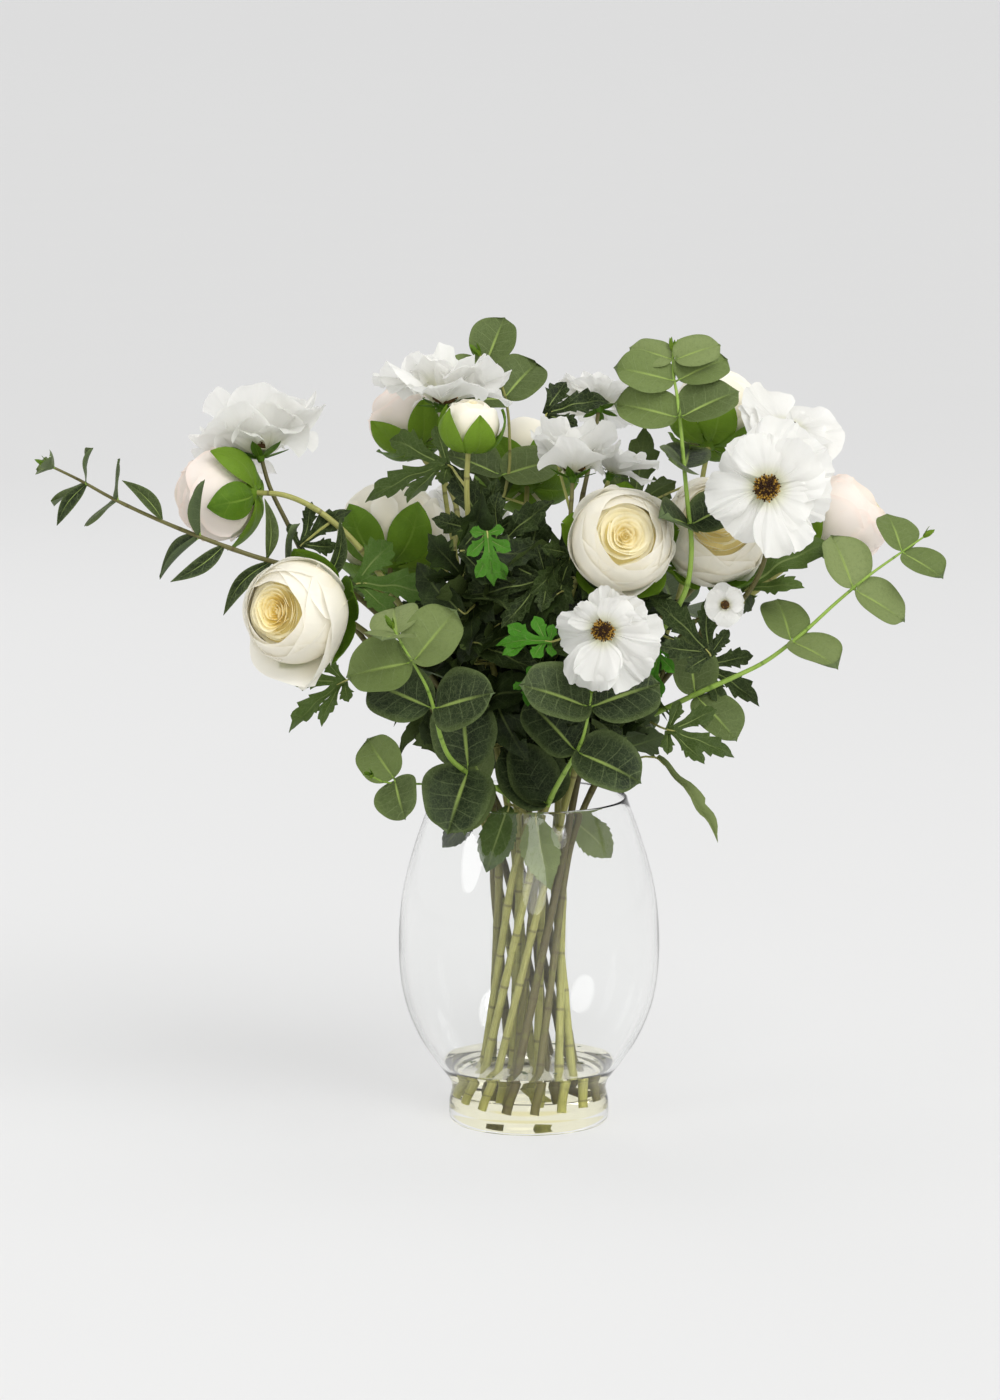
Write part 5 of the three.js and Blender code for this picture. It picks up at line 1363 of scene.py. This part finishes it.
def add_narrow(bundle, s):
    """Thin leaves, each bowed to one side and folded along its middle."""
    rng = dice("narrow")
    v, c = sheet(22, 9, eased=True)
    for share, length, half, way, tone in NARROW:
        x = unit(way)
        n = unit(NARROW_FACE - x * np.dot(NARROW_FACE, x))
        y = np.cross(n, x)
        wide = half * smooth_steps(v, [0, 0.25, 0.5, 0.8, 1.0], [0.18, 0.85, 1.0, 0.55, 0.03])
        bow = rng.uniform(0.05, 0.16) * rng.choice([-1, 1])
        side = wide * c + length * bow * np.sin(np.pi * v)
        tall = np.abs(c) * wide * 0.55 - 0.14 * length * v ** 2 + 0.3 * np.sin(9 * v + c)
        points = on_rod(s, share) + x * (length * v)[..., None] + y * side[..., None] + n * tall[..., None]
        bundle.leaf(points, layers(c * 0.5, v, tone), LEAF, 0.4)


print(len(NARROW), "narrow leaves to make")


# %% The pale buds at the tip of a eucalyptus branch
def add_tip(bundle, s):
    """Four young leaves, still folded round the end of the branch."""
    rng = dice("tip " + s["name"])
    end, way = s["points"][-1], way_along(s, 1.0)
    side = unit(np.cross(way, [0.3, 0.2, 1.0]))
    v, c = sheet(10, 7, eased=True)
    for k in range(4):
        outer = k // 2
        out = turned(side, way, k * math.pi / 2 + rng.uniform(-0.3, 0.3))
        x = unit(way + out * (0.25 + 0.35 * outer))
        n = unit(out - x * out.dot(x))
        long = rng.uniform(7, 11) - 2 * outer
        axes = (end - way * 0.5, x, np.cross(n, x), n, long, long * 0.36)
        points = oval_point(axes, v, c * 0.5 * np.sin(np.pi * (0.08 + 0.92 * v)) ** 0.8)
        bundle.leaf(points, layers(c * 0.5, v, 1.0), SEPAL, 0.3)


print(sum(s["name"].startswith("eucalyptus") for s in stems), "branches end in buds")


# %% [markdown]
# ## Cut leaves
#
# The leaves of ranunculus and cosmos are cut into lobes that fan from the base, each with teeth. A
# lobe is a sheet of its own, laid over its neighbour by a hair. One sheet for the whole leaf would
# need points along every notch. The teeth are a saw wave on the width, steep on the side of the tip.

# %% The lobes of each kind of leaf
# way of the lobe in degrees, its length, half width, teeth on each side, how pointed, where it starts
LOBES = {
    PLAIN: [(0, 1.00, 0.20, 3, 0.8, 0.0), (46, 0.66, 0.16, 3, 0.8, 0.0), (-46, 0.64, 0.16, 3, 0.8, 0.0)],
    CUT: [(0, 1.00, 0.17, 3, 1.0, 0.0), (44, 0.74, 0.13, 3, 1.0, 0.06), (-42, 0.72, 0.13, 3, 1.0, 0.05),
          (78, 0.46, 0.10, 2, 1.0, 0.0), (-80, 0.44, 0.10, 2, 1.0, 0.0)],
    STRAP: [(0, 1.00, 0.075, 2, 0.5, 0.0)],
    FINGER: [(0, 0.92, 0.16, 1, 0.6, 0.0), (30, 0.54, 0.125, 1, 0.6, 0.38), (-34, 0.52, 0.125, 1, 0.6, 0.34),
             (62, 0.48, 0.125, 1, 0.6, 0.12), (-58, 0.50, 0.125, 1, 0.6, 0.10),
             (98, 0.32, 0.10, 1, 0.5, 0.04), (-100, 0.32, 0.10, 1, 0.5, 0.03)],
    OVAL: [(0, 1.00, 0.27, 7, 0.35, 0.0)],
}
MANY_TEETH = 5
LAST_TOOTH = 0.97


def lobe_plan(rng, way, length, half, teeth, pointed, begin, rows, cols):
    """A lobe in the leaf's own plan: places along and across, and its own across and along."""
    v, c = sheet(rows, cols)
    if teeth < MANY_TEETH:
        first, depth = 0.42, 0.55
        width = smooth_steps(v, [0, 0.3, 0.64, 0.84, 1.0], [0.42, 0.50, 1.0, 0.66, 0.03])
    else:
        first, depth = 0.12, 0.12
        width = smooth_steps(v, [0, 0.2, 0.5, 0.8, 1.0], [0.20, 0.80, 1.0, 0.62, 0.03])
    toothed = v > first
    x = np.clip((v - first) / (LAST_TOOTH - first), 0, 1) * teeth + 0.2 * np.sign(c)
    saw = (x % 1.0) * toothed * (1 - v ** 6)
    width = width * (1 + depth * (saw - 0.4) * toothed)
    width = width * (1 + 0.06 * np.sin(7 * v + rng.uniform(*WAVE)))
    x = length * (v + 0.05 * pointed * saw * c ** 2)
    y = half * width * c + 0.06 * length * np.sin(2.2 * v) * rng.uniform(-1, 1)
    angle = math.radians(way + rng.uniform(-5, 5))
    place = begin + x * math.cos(angle) - y * math.sin(angle)
    across_it = x * math.sin(angle) + y * math.cos(angle)
    return place, across_it, c * 0.5 * np.minimum(1, width), v


def add_lobed(bundle, axes, kind, tone, label, fine=True, finish=LEAF):
    """All lobes of one leaf, bent as one with a little of each lobe's own, and its stalk."""
    root, _, _, _, n, length = axes
    rng = dice("cut " + label)
    a, b = rng.uniform(*WAVE, 2)
    droop, fold = rng.uniform(0.0, 0.22), rng.uniform(-0.10, 0.25)
    for i, lobe in enumerate(LOBES[kind]):
        rows = 8 + 5 * lobe[3]
        rows = rows if fine else int(rows * 0.75)
        place, across_it, c, v = lobe_plan(rng, *lobe, rows, 7 if fine else 5)
        points = lobed_point(axes, place, across_it)
        side = np.abs(across_it)
        bend = fold * side - droop * place ** 3 + 0.05 * np.sin(7 * place + a) * side * 2
        bend = bend + 0.04 * np.sin(6 * across_it + b) * place + 0.06 * np.abs(c) * rng.uniform(0.2, 1.4)
        bend = bend + rng.uniform(-0.06, 0.06) * v ** 2 - 0.006 * i - 0.012 * np.exp(-(c / 0.06) ** 2)
        points = points + n * (length * bend)[..., None]
        bundle.leaf(points, layers(c, v, tone), finish, 0.4)
    foot = lobed_point(axes, np.array([0.0, 0.12]), 0.0)
    middle = (root + foot[0]) / 2 + n * 0.03 * np.linalg.norm(foot[0] - root)
    path = smooth_path([root, middle, *foot], 3)
    bundle.tube(path, np.linspace(0.95, 0.4, len(path)), 6, STEM, 0.0)


print("lobes of a leaf, kind by kind:", [len(lobes) for lobes in LOBES.values()])


# %% [markdown]
# ## Leaves that fill the heart
#
# Between the neck and the heads the bouquet is dense and dark: small leaves fill it, too many and
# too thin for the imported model. They are thrown at random onto the stems, and one that would touch
# a head or hide it from the front is thrown again.

# %% Small leaves that fill the heart of the bouquet
FILLERS = 130
LOWEST_IN_FRONT = 246
LOWEST_BEHIND = 228
HIGHEST = 385


def in_heart(middle):
    """Whether a place lies between the neck and the heads, and near enough to the middle."""
    lowest = LOWEST_IN_FRONT if middle[1] < 0 else LOWEST_BEHIND
    furthest = blend(62, 96, (middle[2] - 218) / 160)
    return lowest < middle[2] < HIGHEST and math.hypot(middle[0], middle[1]) <= furthest


def hides(middle, q):
    """Whether a leaf here would cover a head that is seen from the front."""
    off = middle - q["centre"]
    return q["centre"][1] < 40 and off[1] < 0 and math.hypot(off[0], off[2]) < 0.9 * q["head"]


def filler_leaves():
    """Leaves on the stems between the neck and the heads, clear of every head; most carry painted shade."""
    rng = dice("fillers")
    mains = [s for s in stems if s["parent"] is None]
    with_head = [s for s in stems if s["head"]]
    made = []
    while len(made) < FILLERS:
        s = mains[rng.integers(len(mains))]
        root = on_rod(s, rng.uniform(0.05, 0.85))
        angle = math.atan2(root[1], root[0]) + rng.normal(0, 0.8)
        up = rng.uniform(-0.1, 0.9)
        out = unit([math.cos(angle), math.sin(angle), up])
        middle = root + out * rng.uniform(16, 40)
        wild = rng.normal(0, 1, 3)
        tip = unit(out * 0.8 + np.array([0, 0, rng.uniform(-0.9, 0.7)]) + wild * 0.3)
        face = unit([math.cos(angle), math.sin(angle), 0.6] + rng.normal(0, 0.3, 3))
        length = rng.uniform(38, 58)
        n = unit(face - tip * face.dot(tip))
        if not in_heart(middle):
            continue
        if any(np.linalg.norm(middle - q["centre"]) < q["head"] + 0.42 * length for q in with_head):
            continue
        if any(hides(middle, q) for q in with_head):
            continue
        kind = [PLAIN, CUT, CUT, OVAL, OVAL][rng.integers(5)]
        # Most get a tone below 0: painted shade that fades their veins, as deep in the heart of the bouquet.
        tone = rng.uniform(-0.34, -0.1) if rng.uniform() < 0.8 else rng.uniform(0.05, 0.3)
        made.append((s, (root, middle, tip, np.cross(n, tip), n, length), kind, float(tone)))
    return made


fillers = filler_leaves()
print(len(fillers), "leaves fill the heart of the bouquet")


# %% [markdown]
# ## Sepals
#
# Behind a ranunculus five broad green sepals hold the petals like a hand. Behind a cosmos they are
# narrow rays from a small cup. Both lie just outside the coarse head, so they are pieces of a ball
# and of a cone that share its centre.

# %% Sepals: broad and green behind a ranunculus, narrow behind a cosmos
def add_sepals(bundle, f):
    """Five sepals that cup a ranunculus from below, and the knob at their middle."""
    axes = frame_at(f["face"], ord(f["id"]) + 0.3)
    centre, r = np.array(f["at"], float), f["r"]
    base = 0.9 * r
    if r < SMALL_HEAD:
        reach, out = [168, 112, 58], [base + 1.7, 1.09 * r + 2.0, 1.16 * r + 1.4]
    else:
        reach, out = [171, 138, 100], [base + 1.7, 1.07 * r + 2.0, 1.14 * r + 2.6]
    rng = dice("sepals " + f["id"])
    v, c = sheet(14, 11)
    half = 0.62 * smooth_steps(v, [0, 0.3, 0.6, 0.85, 1.0], [0.75, 1.0, 0.86, 0.42, 0.02])
    for k in range(5):
        phi = 2 * math.pi * k / 5 + c * half + 0.12 * np.sin(2 * v + k)
        theta = smooth_steps(v, [0, 0.5, 1], reach) + rng.uniform(-6, 6) * v
        radius = smooth_steps(v, [0, 0.5, 1], out) + 0.5 * np.cos(c * 4 + k) - 0.7 * np.exp(-(c / 0.18) ** 2)
        radius = radius + rng.uniform(-0.4, 1.0) * v ** 2 + 0.4 * (k % 2)
        points = ball(radius, theta, phi)
        bundle.petal(centre + points @ axes, layers(c * 0.5, v, 0.2 + 0.6 * rng.uniform()), SEPAL)
    knob = ball(np.array([base, base + 1.9, base + 3.2])[:, None], np.array([160, 168, 179.5])[:, None],
                ring_of(12)[None])
    bundle.grid(centre + knob @ axes, (0.3, 0.5, 0.4), SEPAL, around=True)


def add_calyx(bundle, f):
    """Narrow sepals behind a cosmos, and the cup they grow from."""
    axes = frame_at(f["face"], ord(f["id"]) * 0.7 + 0.25)
    centre, r = np.array(f["at"], float), f["r"]
    n = 4 if r < SMALL_HEAD else 6
    v, c = sheet(10, 7)
    out = blend(2.0, 0.42 * r, v)
    side = c * 0.075 * r * np.sin(np.pi * np.clip(0.18 + 0.82 * v, 0, 1)) ** 0.8
    z = -2.0 - 0.02 * r + (out - 2.6) * math.tan(math.radians(f["rise"] - 18)) - 0.5 * np.abs(c)
    for k in range(n):
        phi = 2 * math.pi * k / n
        x = out * math.cos(phi) - side * math.sin(phi)
        y = out * math.sin(phi) + side * math.cos(phi)
        points = layers(x, y, z)
        bundle.petal(centre + points @ axes, layers(c * 0.5, v, 0.1), SEPAL)
    small = min(1, r / 26 + 0.2)
    cup = turned_body(np.array([0.3, 2.6, 3.1, 2.4, 1.6]) * small, [-1.2, -1.4, -2.6, -4.6, -6.4], 12)
    bundle.grid(centre + cup @ axes, (0.3, 0.5, 0.0), SEPAL, around=True, flip=True)


print("sepals for", len(RANUNCULUS), "ranunculus and a calyx for", len(COSMOS), "cosmos")


# %% [markdown]
# ## Whole stems
#
# Everything of one packed stem, with its side stems, becomes one mesh with five finishes. It takes
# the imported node's place. Cut leaves with a high tone are young: those get fingers, and the ones low
# in the vase are plain ovals.

# %% Build every packed stem with all that grows from it
VASE_TOP = 200


def kind_and_finish(leaf):
    """What a cut leaf of the table is made as."""
    _, middle, _, _, _, kind, tone = leaf
    in_vase = middle[2] < VASE_TOP
    kind = FINGER if tone > 0.84 and kind == CUT else kind
    kind = OVAL if in_vase else kind
    return kind, PALE if kind == STRAP or in_vase and tone > 0.4 else LEAF


stem_pieces = []
for main in [s for s in stems if s["parent"] is None]:
    bundle = Bundle()
    group = [s for s in stems if s is main or s["parent"] is main]
    names = {s["name"] for s in group}
    for s in group:
        add_stem(bundle, s)
        if s["name"].startswith("ranunculus"):
            add_sepals(bundle, s["own"])
        if s["name"].startswith("cosmos"):
            add_calyx(bundle, s["own"])
        if s["name"].startswith("eucalyptus"):
            add_tip(bundle, s)
        if s["name"] == "eucalyptus_c":
            add_narrow(bundle, s)
    for s, pair, half, choice in oval_leaves:
        if s["name"] in names:
            add_oval(bundle, s, pair, half, choice)
    for leaf, choice in lobed_leaves:
        if leaf[0] in names:
            kind, finish = kind_and_finish(leaf)
            add_lobed(bundle, lobed_axes(leaf, choice), kind, leaf[6], str(leaf[1]), finish=finish)
    for i, (s, axes, kind, tone) in enumerate(fillers):
        if s is main:
            add_lobed(bundle, axes, kind, tone, "filler %d" % i, fine=False)
    is_eucalyptus = main["name"].startswith("eucalyptus")
    leaf_skin = eucalyptus_skin if is_eucalyptus else lobed_skin
    piece = bundle.build(main["name"] + "_stalk", [stem_skin, leaf_skin, sepal_skin, pale_skin, shoot_skin])
    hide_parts(main["name"] + "_stem")
    stem_pieces.append(piece)
print("stems and leaves:", sum(len(p.data.polygons) for p in stem_pieces), "faces")

# %% [markdown]
# ## Vase and the clear set water in its foot
#
# The vase is blown glass: a thin bulb on a short, thick foot. It is turned from one profile round
# the third axis. The clear filling in the foot is slightly yellow, and holds the ends of the stems.
# Where glass and filling touch, light goes straight on, so both get a contact finish there that
# bends nothing. A blown lip is thick but reads soft: its finish bends light only a little.

# %% The clear finishes
def clear_finish(name, tint, ior, grain):
    """Glass or filling of this tint; grain is how fine its ripples are, 0 for none."""
    material, start = empty_finish(name)
    sockets = {"Base Color": tint, "Roughness": 0.0, "IOR": ior, "Transmission Weight": 1.0}
    if grain:
        sockets["Normal"] = start.bump(0.12, 0.0008, start.noise(grain, 2.0, 0.5))
    surface(start, sockets)
    return material


glass = clear_finish("clear_glass", (0.99, 0.993, 0.99, 1.0), 1.42, 14.0)
rim_glass = clear_finish("rim_glass", (1.0, 1.0, 1.0, 1.0), 1.16, 0)
contact = clear_finish("contact", (0.99, 0.975, 0.86, 1.0), 1.0, 0)
set_water = clear_finish("set_water", (0.995, 0.985, 0.90, 1.0), 1.42, 30.0)
print("clear finishes:", [m.name for m in (glass, rim_glass, contact, set_water)])


# %% The vase
FILL_TOP = 37.0
LIP_HEIGHT = 200.8


def turn_profile(name, profile, finishes, others, segments=160):
    """The body of a profile; others lists the strips that take the second finish, the third and so on."""
    bundle = Bundle()
    bundle.grid(turned_body(profile[:, 0], profile[:, 1], segments), (0.0, 0.0, 0.0), 0, around=True)
    strip = np.arange(len(profile) - 1).repeat(segments)
    for number, strips in enumerate(others, 1):
        bundle.finish[0][np.isin(strip, strips)] = number
    return bundle.build(name, finishes, crease=35)


outside = np.concatenate([
    [[0.02, 1.2], [30, 1.0]],
    smooth_path([(43, 0.2), (45.5, 0.08), (48, 0.9), (49, 3.2), (49.1, 8.5), (48.9, 13), (47.9, 17.5),
                 (47.4, 21), (48.8, 26), (57.7, 38), (68.4, 55), (76.6, 77), (79.9, 103), (78.2, 138),
                 (71.6, 167), (60.4, 199.6)], 6),
    smooth_path([(60.0, 201.2), (59.4, 201.9), (58.7, 201.9), (58.2, 201.2)], 3)])
inside = np.concatenate([
    smooth_path([(58.2, 200), (69.6, 166), (76.0, 137), (77.1, 103.5), (73.8, 78.2), (65.9, 57), (55.4, 40.2),
                 (46.9, 28.5), (45.1, 24), (45.0, 18), (44.8, 12), (43.6, 8.8), (41, 7.2)], 6),
    [[30, 7.0], [0.02, 7.0]]])
whole = np.concatenate([outside, inside])
wetted = [i for i in range(len(outside), len(whole) - 1) if whole[i, 1] < FILL_TOP]
rim = [i for i in range(len(whole) - 1) if min(whole[i, 1], whole[i + 1, 1]) > LIP_HEIGHT]
vase = turn_profile("glass_vase", whole, [glass, contact, rim_glass], [wetted, rim])
vase.visible_shadow = False
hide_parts("vase")
print("vase", len(vase.data.polygons), "faces")

# %% The set water
fill_surface = [[51.8, 36.9], [50.5, 36.6], [30, 36.6], [0.02, 36.6]]
fill = np.concatenate([
    [[0.02, 6.7], [30, 6.7]],
    smooth_path([(41.2, 6.9), (43.9, 8.9), (45.0, 12.1), (45.3, 18), (45.4, 24.1), (47.1, 28.4),
                 (53.0, 37)], 5),
    fill_surface])
against_glass = list(range(len(fill) - len(fill_surface) - 1))
water = turn_profile("set_water", fill, [set_water, contact], [against_glass])
water.visible_shadow = False
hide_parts("water")
print("water", len(water.data.polygons), "faces")

# %% [markdown]
# ## Crumbs
#
# Bits of leaf fell into the filling before it set. They are tiny six-sided flakes, thrown at random
# over its surface, and dark like the leaves they came from.

# %% Crumbs of leaf caught in the surface of the set water
CRUMBS = 34
CRUMB_HEIGHT = 36.75
CRUMB_REACH = 48


def crumbs_piece():
    bundle = Bundle()
    rng = dice("crumbs")
    phi = ring_of(6)
    for _ in range(CRUMBS):
        angle, out = rng.uniform(0, 2 * math.pi), CRUMB_REACH * math.sqrt(rng.uniform(0.12, 0.98))
        size = rng.uniform(0.8, 2.4)
        edge = size * (1 + 0.5 * np.sin(rng.uniform(*WAVE, 6)))
        x = out * math.cos(angle) + np.outer([1.0, 0.0], edge * np.cos(phi))
        y = out * math.sin(angle) + np.outer([1.0, 0.0], edge * np.sin(phi) * rng.uniform(0.3, 1.0))
        z = CRUMB_HEIGHT + np.array([[0.0], [0.35]]) + rng.uniform(0, 0.3)
        bundle.grid(layers(x, y, z), (0.3, 0.5, rng.uniform(0, 0.3)), 0, around=True)
    piece = bundle.build("crumbs", [lobed_skin])
    return piece


crumbs = crumbs_piece()
print("crumbs", len(crumbs.data.polygons), "faces")

# %% [markdown]
# ## Floor
#
# A wide pale floor reaches past the picture, so there is no edge behind the bouquet. It glows a
# little by itself, as paper does in a studio that is lit far beyond the table. A curved backdrop
# would do the same, but a flat floor is right from every side.

# %% The floor
FLOOR_REACH = 90
FLOOR_HEIGHT = -0.0003


def floor_finish():
    """Pale grey with a glow of its own, a little darker far behind the bouquet."""
    material, start = empty_finish("pale_floor")
    speck = start.noise(3.0, 3.0, 0.5)
    far = start.node("ShaderNodeSeparateXYZ", {}, {"Vector": start.place()}, 1)
    fade = far.between(-1.5, 3.0) * 0.45 + far.between(2.0, 40.0) * 0.55
    base = (speck * 0.3).mix((0.36, 0.36, 0.36, 1.0), (0.34, 0.34, 0.34, 1.0))
    glow = fade.mix((0.425, 0.425, 0.422, 1.0), (0.40, 0.40, 0.40, 1.0))
    surface(start, {"Base Color": base, "Roughness": 0.85, "Specular IOR Level": 0.2,
                    "Emission Color": glow, "Emission Strength": 1.0})
    return material


corners = [(x * FLOOR_REACH, y * FLOOR_REACH, 0) for x, y in ((-1, -1), (1, -1), (1, 1), (-1, 1))]
floor_mesh = bpy.data.meshes.new("floor")
floor_mesh.from_pydata(corners, [], [(0, 1, 2, 3)])
floor_mesh.materials.append(floor_finish())
floor = bpy.data.objects.new("floor", floor_mesh)
floor.location.z = FLOOR_HEIGHT
bpy.context.scene.collection.objects.link(floor)
print("floor", 2 * FLOOR_REACH, "m wide")

# %% [markdown]
# ## Lamps
#
# Disk lamps make soft shadows, as windows and umbrellas do. The one in front only lifts the shadows,
# so it is kept out of reflections: the glass would show it as a white disk. A broad sun stands for
# the bright ceiling. The surround is pale at the sides and darker above, so the glass has something
# to reflect and shows its shape.

# %% The lamps
HEART = Vector((0, 0, 0.25))


def aimed(name, data, place, target):
    """A light that stands at a place and shines at a target."""
    light = bpy.data.objects.new(name, data)
    light.location = place
    light.rotation_euler = (target - Vector(place)).to_track_quat("-Z", "Y").to_euler()
    bpy.context.scene.collection.objects.link(light)
    return light


def lamp(name, place, size, power):
    """A round lamp of this width and power, in metres and watts, that shines at the heart."""
    data = bpy.data.lights.new(name, "AREA")
    data.shape = "DISK"
    data.size = size
    data.energy = power
    return aimed(name, data, place, HEART)


lamp("key", (1.9, -2.2, 2.4), 1.4, 21)
lamp("side", (-2.2, -1.2, 1.3), 1.2, 9)
lamp("top", (0.1, 0.5, 2.6), 1.6, 10)
fill_in = lamp("front", (0.3, -3.4, 1.3), 1.4, 22)
fill_in.visible_glossy = False
lamp("back", (-1.3, 2.6, 1.7), 1.4, 8)
sun_data = bpy.data.lights.new("sky_panel", "SUN")
sun_data.energy = 1.5
sun_data.angle = math.radians(45)
aimed("sky_panel", sun_data, (0.7, -0.9, 1.3), Vector((0, 0, 0)))

# %% The pale surround
world = bpy.data.worlds.new("surround")
world.use_nodes = True
sky = Wire(world.node_tree)
way_up = sky.node("ShaderNodeSeparateXYZ", {}, {"Vector": sky.node("ShaderNodeTexCoord", {}, {}, 0)}, 2)
paleness = way_up.between(0.22, 0.80).mix((0.84, 0.84, 0.84, 1.0), (0.33, 0.33, 0.33, 1.0))
background = world.node_tree.nodes["Background"]
world.node_tree.links.new(paleness.socket, background.inputs["Color"])
background.inputs["Strength"].default_value = 1.0
bpy.context.scene.world = world
bpy.context.scene.view_settings.view_transform = "Standard"
print("surround:", world.name, "with", len(world.node_tree.nodes), "nodes")

counts = {}
for thing in bpy.context.scene.objects:
    if thing.type == "MESH" and not thing.hide_render and thing.name != "floor":
        counts[thing.name] = sum(len(p.vertices) - 2 for p in thing.data.polygons)
print("triangles:", sum(counts.values()), "in all, most in one piece:", max(counts.values()))
print(sorted(((v, k) for k, v in counts.items()), reverse=True)[:8])
